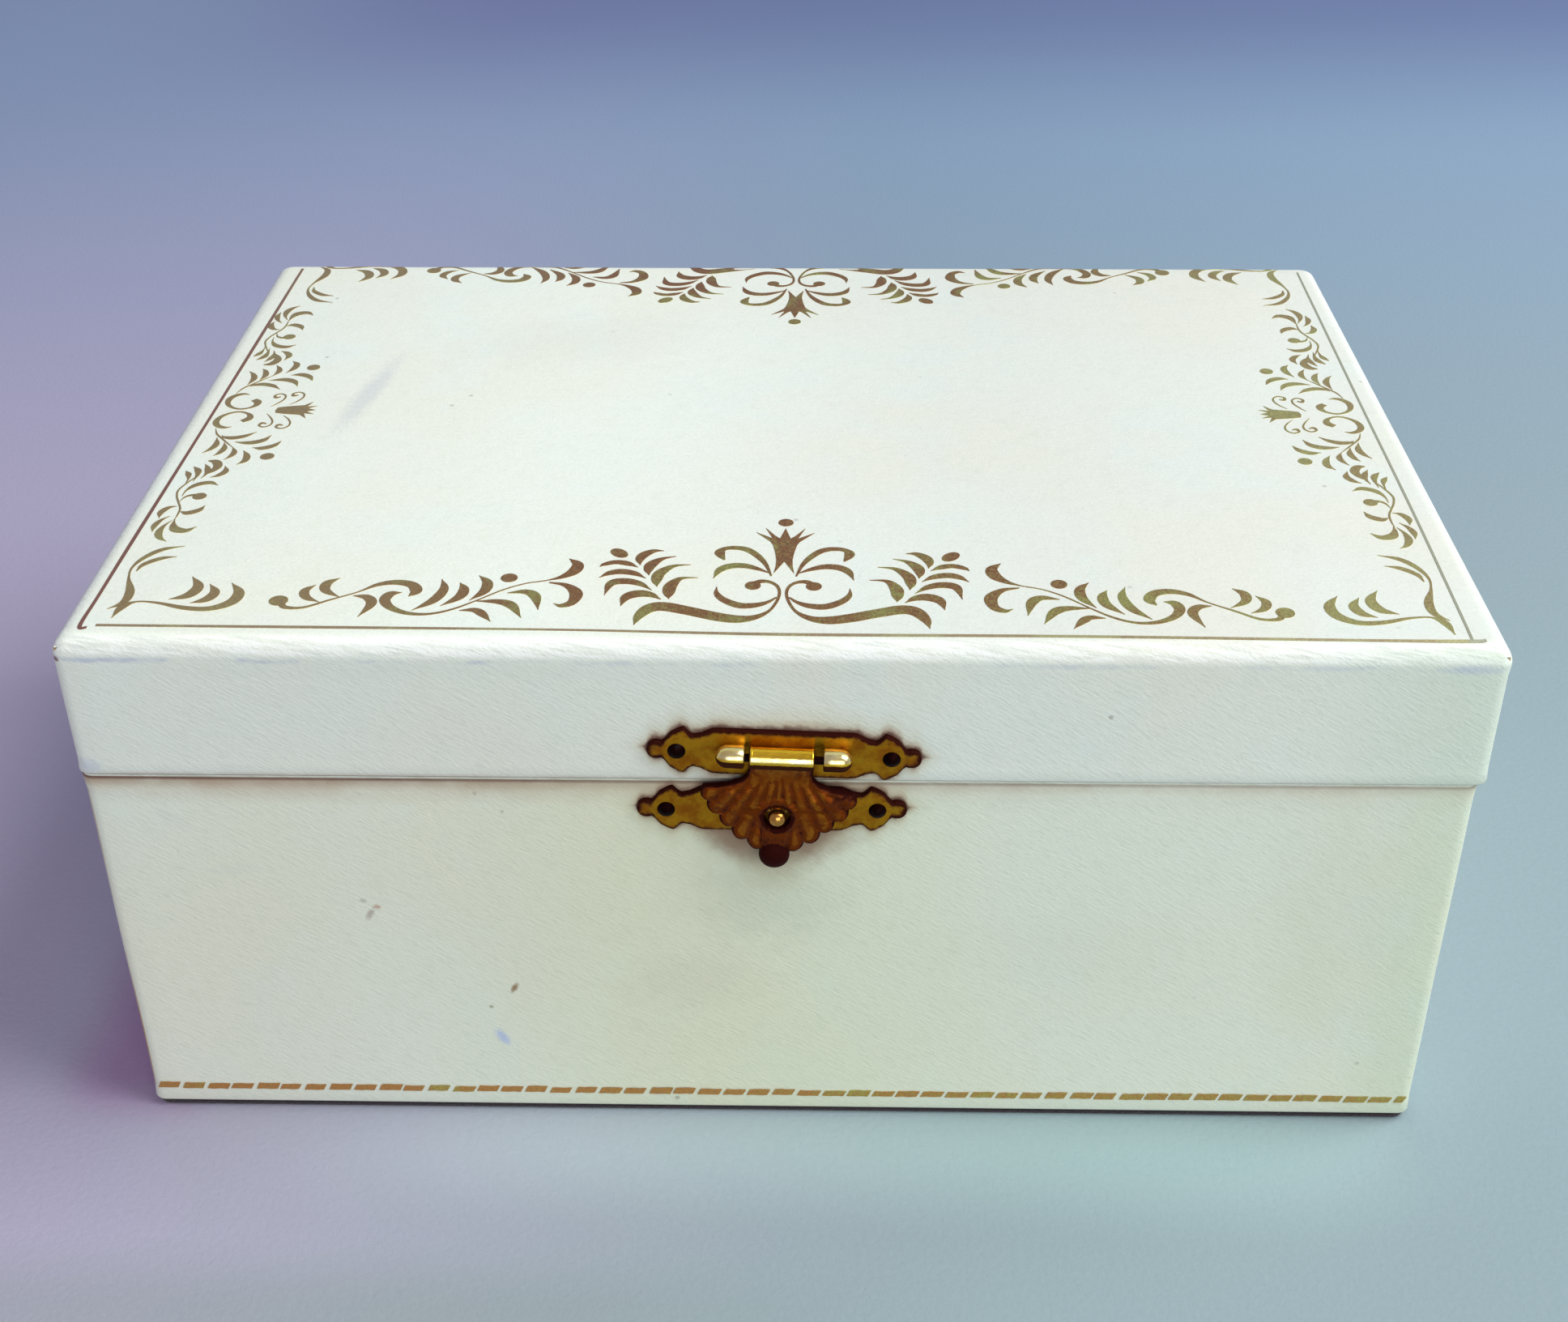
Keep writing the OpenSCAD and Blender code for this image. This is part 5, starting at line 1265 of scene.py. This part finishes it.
def make_hasp():
    """The hasp's shell, as spokes from its hole to its outline, and its ribbed barrel."""
    spokes, steps = 264, 18
    lip, hole_lip = 0.3, 0.25
    points, rim = [], []
    for i in range(spokes):
        a = 2 * math.pi * (i + 0.5) / spokes
        reach = hasp_reach(a)
        for k in range(steps + 1):
            r = HOLE_R + (reach - HOLE_R) * (1 - (1 - k / steps) ** 1.25)
            x, z = r * math.cos(a), -STUD_DROP + r * math.sin(a)
            gap = min(reach - r, abs(NECK_HALF - abs(x)) if z > -2.6 else 99)
            drop = lip * round_off(gap, lip) + hole_lip * round_off(r - HOLE_R, hole_lip)
            points.append((x, -(HASP_T + hasp_relief(x, z, gap) - drop), z))
            rim.append(hasp_grime(x, z, gap))
        for r in (reach, HOLE_R):
            points.append((r * math.cos(a), 0, -STUD_DROP + r * math.sin(a)))
        rim += [1, 1]
    shell = add_piece("hasp_shell", placed(points, (HASP_AT[0], HASP_BACK_Y, HASP_AT[1]), HASP_TILT),
                      loop_faces(spokes, steps + 3, True), HASP_BRASS, "hasp", "dark_brass",
                      replaces=["hasp"], rim=rim)
    sharpen(outward(shell), 55)

    half, ribs, groove, around = NECK_HALF, 26, 0.07, 32
    profile = [(-half, 0.68), (-half, 1.4), (-half + 0.07, 1.52), (-half + 0.2, BARREL_R)]
    for k in range(ribs * 2 + 1):
        x = -half + 0.4 + (2 * half - 0.8) * k / (ribs * 2)
        profile.append((x, BARREL_R - (groove if k % 2 else 0.0)))
    profile += [(-x, r) for x, r in reversed(profile[:4])]
    points, rim = [], []
    for x, y, z in lathe_x(profile, around):
        if z <= 0.55 and math.hypot(y, z) > 1.5:      # the ribs show on the upper side only
            smooth = BARREL_R / math.hypot(y, z)
            y, z = y * smooth, z * smooth
        # Painted reflection and shade: the barrel's top amber, its lower side dark, and its ends dark next to
        # the lugs
        rim.append(max(0.30 * smooth_step((z - 0.75) / 0.35), smooth_step((0.25 - z) / 0.5),
                       abs(x) > half - 0.15))
        points.append((x, y, z + PIN_RISE))
    barrel = add_piece("hasp_barrel", placed(points, (HASP_AT[0], BARREL_Y, HASP_AT[1]), LATCH_TILT),
                       loop_faces(len(profile), around, True), BRIGHT_BRASS, "hasp", "brass", rim=rim)
    sharpen(outward(barrel, 0.0005), 60)


make_plates()
make_hasp()


# ---------------------------------------------------------------- soft linings and pads
def slab(name, origin, u_axis, v_axis, size, thick, body, slot, material, replaces,
         edge=1.0, crown=0.0, wrinkle=0.0, step=3.0):
    """A padded sheet lying on a plane: its border meets the plane and its face is crowned towards u x v."""
    origin, u_axis, v_axis = [np.array(v, float) for v in (origin, u_axis, v_axis)]
    out = np.cross(u_axis, v_axis)

    def stations(length):
        near = [edge * s for s in (0, 0.06, 0.2, 0.45, 0.75, 1.0)]
        n = max(2, round((length - 2 * edge) / step))
        middle = [edge + (length - 2 * edge) * k / n for k in range(1, n)]
        return near + middle + [length - s for s in reversed(near)]

    def rise(d):
        return math.sqrt(max(0.0, 1 - (1 - min(1.0, d / edge)) ** 2))

    us, vs = stations(size[0]), stations(size[1])
    top, low = [], []
    for v in vs:
        for u in us:
            flat = origin + u * u_axis + v * v_axis
            du, dv = min(u, size[0] - u), min(v, size[1] - v)
            swell = crown * (1 - (2 * u / size[0] - 1) ** 4) * (1 - (2 * v / size[1] - 1) ** 4)
            wave = wrinkle * noise.noise(Vector(flat) * 0.05) * min(1, du / 6, dv / 6)
            h = thick * rise(du) * rise(dv) + swell + wave * rise(du) * rise(dv)
            top.append(flat + max(0.0, h) * out)
            low.append(flat)
    nu, count = len(us), len(top)
    faces = []
    for a in (r * nu + i for r in range(len(vs) - 1) for i in range(nu - 1)):
        quad = (a, a + 1, a + nu + 1, a + nu)
        faces += [quad, tuple(count + i for i in reversed(quad))]
    piece = add_piece(name, top + low, faces, material, body, slot, replaces=replaces)
    return outward(piece, 0.002)


# Each wall's lining: the corner of its box where it starts (0 low, 1 high), its way along, and its thin axis
WALLS = {"front": ((1, 0, 0), (-1, 0, 0), 1), "back": ((0, 1, 0), (1, 0, 0), 1),
         "left": ((0, 0, 0), (0, 1, 0), 0), "right": ((1, 1, 0), (0, -1, 0), 0)}


def lining(body, wall):
    """Velvet glued over card on one wall: a thin panel with soft edges."""
    node = f"{body}_{wall}_lining"
    corners = box_mm(node)
    size = corners[1] - corners[0]
    corner, along, thin = WALLS[wall]
    start = [corners[end][axis] for axis, end in enumerate(corner)]
    wide, tall = size[1 - thin], size[2]
    piece = slab(f"{body}_{wall}_velvet", start, along, (0, 0, 1), (wide, tall), size[thin], body,
                 "velvet", VELVET, [node], edge=0.45, wrinkle=0.12, step=3.5)


def pad(node, name, body, slot, material, room, fill, **shape):
    """A flat pad in its node's box, with some room left above it."""
    lo, hi = box_mm(node)
    size = hi - lo
    piece = slab(name, lo, (1, 0, 0), (0, 1, 0), size[:2], size[2] - room, body, slot, material, [node],
                 **shape)


for wall in WALLS:
    lining("box", wall)
    lining("lid", wall)
pad("floor_pad", "floor_velvet_pad", "box", "velvet", VELVET, 0.1, 0.5, edge=1.6, crown=0.25, wrinkle=0.25)
pad("tray_pad", "tray_velvet_pad", "tray", "velvet", VELVET, 0.05, 0.5, edge=1.2, crown=0.15, wrinkle=0.2)
pad("lid_wadding", "lid_wadding_sheet", "lid", "wadding", COTTON, 0.2, 0.3,
    edge=2.0, crown=0.05, wrinkle=0.1, step=6)


def make_felt():
    """Felt under the box, with a slightly frayed edge."""
    lo, hi = box_mm("base_felt")
    half = ((hi[0] - lo[0]) / 2, (hi[1] - lo[1]) / 2)
    middle, top = (hi[0] + lo[0]) / 2, hi[2] - 0.01
    rings = [(inset, 0.0) for inset in (half[1], 40, 10, 2, 0.15)] + [(0, 0.2), (0.02, 0.8 * top)]
    rings += [(inset, top) for inset in (0.15, 2, 10, 40, half[1])]
    points = []
    for inset, z in rings:
        for x, y in rounded_loop(half[0] - inset, half[1] - inset, 2.0 if inset < 5 else 0):
            fray = 0.12 * ripple(x, y, z, 0.5) if 0 <= inset < 1 else 0
            points.append((x + math.copysign(fray, x) + middle, y, z))
    piece = add_piece("base_felt_sheet", points, loop_faces(len(rings), len(rounded_loop(*half, 1))), FELT,
                      "box", "felt", replaces=["base_felt"])
    outward(piece, 0.02)


make_felt()


# ---------------------------------------------------------------- velvet-covered boards
def board(lo, hi):
    """A velvet-wrapped card board: a loft along its longer side with a rounded head and soft ends."""
    lo, hi = np.array(lo, float), np.array(hi, float)
    size = hi - lo
    long = 0 if size[0] > size[1] else 1
    cross = 1 - long
    half, tall = size[cross] / 2, size[2]
    section = []
    for k in range(9):
        a = math.pi * k / 8
        section.append((half * math.cos(a), tall - half * 0.8 + half * 0.8 * math.sin(a)))
    section += [(-half, tall * s) for s in (0.75, 0.5, 0.25, 0.03)] + [(-half * 0.8, 0), (half * 0.8, 0)]
    section += [(half, tall * s) for s in (0.03, 0.25, 0.5, 0.75)]
    soft = 0.9
    ends = [0, 0.1, 0.4, soft]
    n = max(4, round(size[long] / 3.5))
    stations = ends + [size[long] * k / n for k in range(1, n)] + [size[long] - e for e in reversed(ends)]
    points = []
    for s in sorted(stations):
        pinch = 1 - 0.25 * round_off(min(s, size[long] - s), soft)
        for w, z in section:
            p = np.zeros(3)
            p[long] = lo[long] + s
            p[cross] = (lo[cross] + hi[cross]) / 2 + w * pinch
            p[2] = lo[2] + z
            uneven = 0.05 * noise.noise(Vector(p) * 0.22)
            p[cross] -= math.copysign(abs(uneven), w) if abs(w) > 0.2 else 0
            points.append(p)
    columns = len(section)
    return points, loop_faces(len(stations), columns) + end_faces(len(stations), columns)


def board_piece(name, boxes, body, node):
    """One piece of several boards, from their lowest and highest corners."""
    points, faces = [], []
    for lo, hi in boxes:
        p, f = board(lo, hi)
        faces += offset(f, len(points))
        points += p
    piece = add_piece(name, points, faces, VELVET_BOARD, body, "velvet_board", replaces=[node])
    sharpen(outward(piece, 0.0005), 60)


for node in ("tray_front_wall", "tray_back_wall", "tray_left_wall", "tray_right_wall"):
    board_piece(node + "_velvet", [box_mm(node)], "tray", node)
LONG_LO, LONG_HI = box_mm("long_divider")
board_piece("long_divider_velvet", [(LONG_LO, LONG_HI)], "box", "long_divider")

BOARD_GAP = 0.2           # between boards that meet
DIVIDER_T = LONG_HI[1] - LONG_LO[1]
lo, hi = box_mm("cross_dividers")
FRONT_X = (hi[0] - lo[0] - DIVIDER_T) / 2
boxes = [((s * FRONT_X - DIVIDER_T / 2, lo[1], lo[2]),
          (s * FRONT_X + DIVIDER_T / 2, LONG_LO[1] - BOARD_GAP, hi[2])) for s in (-1, 1)]
boxes.append(((-DIVIDER_T / 2, LONG_HI[1] + BOARD_GAP, lo[2]), (DIVIDER_T / 2, hi[1], hi[2])))
board_piece("cross_dividers_velvet", boxes, "box", "cross_dividers")

TRAY_DIVIDER_T = 2.0
lo, hi = box_mm("tray_dividers")
ROLL_LO, ROLL_HI = box_mm("ring_rolls")
split_y = ROLL_HI[1] + 0.1
behind_y, beside_x = split_y + TRAY_DIVIDER_T, ROLL_HI[0] + BOARD_GAP
boxes = [((lo[0], split_y, lo[2]), (hi[0], behind_y, hi[2]))]
boxes += [((s * FRONT_X - TRAY_DIVIDER_T / 2, behind_y + BOARD_GAP, lo[2]),
           (s * FRONT_X + TRAY_DIVIDER_T / 2, hi[1], hi[2])) for s in (-1, 1)]
boxes.append(((beside_x, lo[1], lo[2]), (beside_x + TRAY_DIVIDER_T, split_y - BOARD_GAP, hi[2])))
board_piece("tray_dividers_velvet", boxes, "tray", "tray_dividers")

lo, hi = box_mm("tray_floor")
size = hi - lo
slab("tray_floor_board", (lo[0], hi[1], hi[2]), (1, 0, 0), (0, -1, 0), size[:2], size[2], "tray",
     "velvet_board", VELVET_BOARD, ["tray_floor"], edge=0.5, step=5)


def make_rolls():
    """Ring rolls: firm velvet rolls side by side, gathered at their ends."""
    lo, hi = ROLL_LO, ROLL_HI
    r = (hi[2] - lo[2]) / 2
    length = hi[0] - lo[0]
    gap, steps, end = 0.3, 26, 2.4
    pitch = 2 * r + gap
    points, faces = [], []
    for i in range(round((hi[1] - lo[1] + gap) / pitch)):
        y, z = hi[1] - r - i * pitch, lo[2] + r
        profile = [(lo[0] + s, r * math.sqrt(max(0.0, 1 - (1 - min(1, s / end)) ** 2.4)))
                   for s in (0, 0.05, 0.25, 0.7, 1.4, end)]
        dents = [1 - 0.02 * abs(ripple(k * 3, i * 17, 0, 0.4)) for k in range(2, 39)]
        profile += [(lo[0] + length * k / 40, r * dent) for k, dent in enumerate(dents, 2)]
        profile += [(lo[0] + hi[0] - x, radius) for x, radius in reversed(profile[:6])]
        faces += offset(loop_faces(len(profile), steps), len(points))
        for x, radius in profile:
            for k in range(steps):
                a = 2 * math.pi * k / steps
                fold = 1 - 0.05 * (k % 2) * (min(x - lo[0], hi[0] - x) < 1.5)
                points.append((x, y + radius * fold * math.cos(a), z + max(-r, radius * fold * math.sin(a))))
    piece = add_piece("ring_rolls_velvet", points, faces, VELVET, "tray", "velvet", replaces=["ring_rolls"])
    outward(piece, 0.01)


make_rolls()


# ---------------------------------------------------------------- satin pad inside the lid
def blown_up(piece):
    """Points in millimetres of a cloth held by its group, after it has filled with air."""
    cloth = piece.modifiers.new("cloth", "CLOTH")
    s = cloth.settings
    s.quality = 8
    s.mass = 0.05
    s.tension_stiffness = s.compression_stiffness = 12
    s.shear_stiffness = 4
    s.bending_stiffness = 0.02
    s.shrink_min = s.shrink_max = -0.05
    s.use_pressure = True
    s.uniform_pressure_force = 4.0
    s.vertex_group_mass = "held"
    s.pin_stiffness = 1.0
    s.effector_weights.gravity = 0
    cloth.collision_settings.use_self_collision = False
    cloth.collision_settings.use_collision = False
    for number in range(1, 21):
        bpy.context.scene.frame_set(number)
    shaped = bpy.data.meshes.new_from_object(piece.evaluated_get(bpy.context.evaluated_depsgraph_get()))
    moved = np.array([v.co for v in shaped.vertices]) / MM
    piece.modifiers.remove(cloth)
    bpy.context.scene.frame_set(1)
    return moved


def make_satin():
    """Satin cushion round the mirror: a cloth held at its border and under the mirror's frame, blown up."""
    lo, hi = box_mm("lid_satin_pad")
    frame_lo, frame_hi = box_mm("mirror_frame")
    inset, step, margin = 0.3, 3.6, 0.5
    nu, nv = round((hi[0] - lo[0]) / step), round((hi[1] - lo[1]) / step)
    face_z, border_z, pressed_z = lo[2] + 0.9, hi[2] - 0.05, lo[2] + 0.06
    points = []
    for v in range(nv + 1):
        for u in range(nu + 1):
            x = lo[0] + inset + (hi[0] - lo[0] - 2 * inset) * u / nu
            y = lo[1] + inset + (hi[1] - lo[1] - 2 * inset) * v / nv
            points.append((x, y, border_z if u in (0, nu) or v in (0, nv) else face_z))
    w = nu + 1
    faces = [(a, a + w, a + w + 1, a + 1) for a in (r * w + i for r in range(nv) for i in range(nu))]
    piece = add_piece("lid_satin_cushion", points, faces, SATIN, "lid", "satin", replaces=["lid_satin_pad"])
    held = piece.vertex_groups.new(name="held")
    for i, (x, y, z) in enumerate(points):
        under = (frame_lo[0] - margin < x < frame_hi[0] + margin
                 and frame_lo[1] - margin < y < frame_hi[1] + margin)
        if under or z > face_z:
            held.add([i], 1.0, "REPLACE")
        if under:
            piece.data.vertices[i].co.z = pressed_z * MM
    start = np.array([v.co for v in piece.data.vertices]) / MM
    moved = blown_up(piece)
    cap_low, cap = 1.6, 3.5               # how far a point may sink below the pad, and move at all
    for i, p in enumerate(moved):
        way = p - start[i]
        size = float(np.linalg.norm(way))
        if size > cap:
            p = start[i] + way * cap / size
        p[2] = min(max(p[2], lo[2] - cap_low), hi[2] - 0.02)
        piece.data.vertices[i].co = Vector(p) * MM
    bpy.context.view_layer.update()
    solid = piece.modifiers.new("back", "SOLIDIFY")
    solid.thickness, solid.offset = 0.5 * MM, 1.0
    sub = piece.modifiers.new("fine", "SUBSURF")
    sub.levels = sub.render_levels = 1


make_satin()


# ---------------------------------------------------------------- finish of the CAD nodes that stay
def dress(nodes, material, bevel=0.0):
    """Gives CAD nodes their material, and soft edges where bevel is set."""
    for node in nodes:
        piece = NODES[node]
        piece.data.materials.clear()
        piece.data.materials.append(material)
        if bevel:
            weld = piece.modifiers.new("weld", "WELD")
            weld.merge_threshold = 0.002 * MM
            soft = piece.modifiers.new("soft_edges", "BEVEL")
            soft.width, soft.segments, soft.limit_method = bevel * MM, 2, "ANGLE"
            soft.angle_limit = math.radians(40)
            level = piece.modifiers.new("flat_faces", "WEIGHTED_NORMAL")
            level.weight = 100


dress([n for n in NODES if n.endswith(("_panel", "_rail"))], WOOD)
dress([n for n in NODES if n.startswith("hinge_") and "leaf" in n], PLAIN_BRASS, 0.15)
dress(["mirror_frame", "lift_bracket_left", "lift_bracket_right", "tray_arm_left", "tray_arm_right"],
      PLAIN_BRASS, 0.15)
dress(["hinge_left_pin", "hinge_right_pin", "arm_pivot_left", "arm_pivot_right", "lift_bracket_screws",
       "tray_rivets", "hinge_lower_nails", "hinge_upper_nails"], PLAIN_BRASS)
dress(["latch_nails", "catch_nails", "latch_pin"], DARK_BRASS)
dress(["catch_stud"], STUD_BRASS)
dress(["mirror_glass"], MIRROR, 0.2)


# ---------------------------------------------------------------- floor and light
def floor_paper():
    """Matt paper with painted light and shade: paler violet at the left and darker blue-green at the right,
    bluer far back, a painted pool of light in front of the box, painted shadow beside its left side, and
    painted shade further forward and far back on the left.
    """
    f = Finish("floor_paper")
    weave = f.noise(0.9, 4.0, 0.6)
    left = f.blend(weave, (0.47, 0.42, 0.58), (0.52, 0.47, 0.64))
    right = f.blend(weave, (0.27, 0.36, 0.40), (0.31, 0.40, 0.44))
    # Painted light and shade: paler at the left, where the box's shadow falls, darker at the right, under the
    # key lamp
    colour = f.blend(f.ramp(f.x, -170.0, 60.0), left, right)
    colour = f.blend(f.ramp(f.y, 60.0, 520.0, 0.0, 0.75), colour, (0.27, 0.41, 0.62))
    from_middle = f.math("ABSOLUTE", f.add(f.x, -12.0))
    # Painted light: paler just in front of the box, where its shadow falls
    before = f.times(f.ramp(f.y, -98.0, -76.0), f.ramp(f.y, -40.0, -66.0), f.ramp(from_middle, 108.0, 40.0))
    colour = f.tint(before, colour, (1.36, 1.42, 1.34))
    # Painted shadow beside the box's left side
    painted_shadow_left = f.times(f.ramp(f.x, -123.0, -108.0), f.ramp(f.y, -78.0, -62.0), f.ramp(f.y, 40.0, 0.0),
                     f.ramp(f.x, -90.0, -98.0))
    colour = f.tint(painted_shadow_left, colour, (0.90, 0.62, 0.80))
    # Painted shade further forward, more on the left
    near = f.times(f.ramp(f.y, -96.0, -112.0), f.ramp(f.x, 60.0, -60.0))
    colour = f.tint(near, colour, (0.80, 0.87, 0.78))
    # Painted shade far back on the left
    painted_shade_far = f.times(f.ramp(f.y, 400.0, 620.0), f.ramp(f.x, -330.0, -120.0))
    colour = f.tint(painted_shade_far, colour, (0.70, 0.64, 0.80))
    f.set(Base_Color=colour, Roughness=0.9, Normal=f.bump(weave, 0.12))
    return f.material


def stage():
    """A floor that curves up into a backdrop, in metres."""
    half_width, back, bend, top = 2.4, 0.9, 0.35, 2.2
    profile = [(-half_width, 0.0), (back, 0.0)]
    profile += [(back + bend * math.sin(a), bend * (1 - math.cos(a))) for a in np.linspace(0.1, 1.5, 12)]
    profile += [(back + bend + 0.01, top)]
    points = [(s * half_width, y, z) for y, z in profile for s in (-1, 1)]
    faces = [(2 * i, 2 * i + 1, 2 * i + 3, 2 * i + 2) for i in range(len(profile) - 1)]
    mesh = bpy.data.meshes.new("floor")
    mesh.from_pydata(points, [], faces)
    mesh.polygons.foreach_set("use_smooth", [True] * len(faces))
    mesh.materials.append(floor_paper())
    floor = bpy.data.objects.new("floor", mesh)
    bpy.context.scene.collection.objects.link(floor)


def lamp(name, place, aim, size, power, colour):
    """A rectangular lamp at a place, turned towards a point, in metres and watts."""
    data = bpy.data.lights.new(name, "AREA")
    data.shape, data.size, data.size_y, data.energy, data.color = "RECTANGLE", size[0], size[1], power, colour
    light = bpy.data.objects.new(name, data)
    light.location = place
    light.rotation_euler = (Vector(aim) - Vector(place)).to_track_quat("-Z", "Y").to_euler()
    bpy.context.scene.collection.objects.link(light)


stage()
lamp("key", (0.70, -0.06, 0.90), (0, 0.02, 0.05), (0.85, 0.85), 12.3, (0.97, 1.0, 0.95))
lamp("front_fill", (0.30, -1.3, 0.46), (0, 0, 0.04), (1.0, 0.7), 7.0, (0.95, 1.0, 0.92))
world = bpy.data.worlds.new("studio")
world.use_nodes = True
background = world.node_tree.nodes["Background"]
background.inputs["Color"].default_value = (0.92, 0.87, 1.0, 1)
background.inputs["Strength"].default_value = 0.36
bpy.context.scene.world = world
bpy.context.scene.view_settings.view_transform = "Standard"
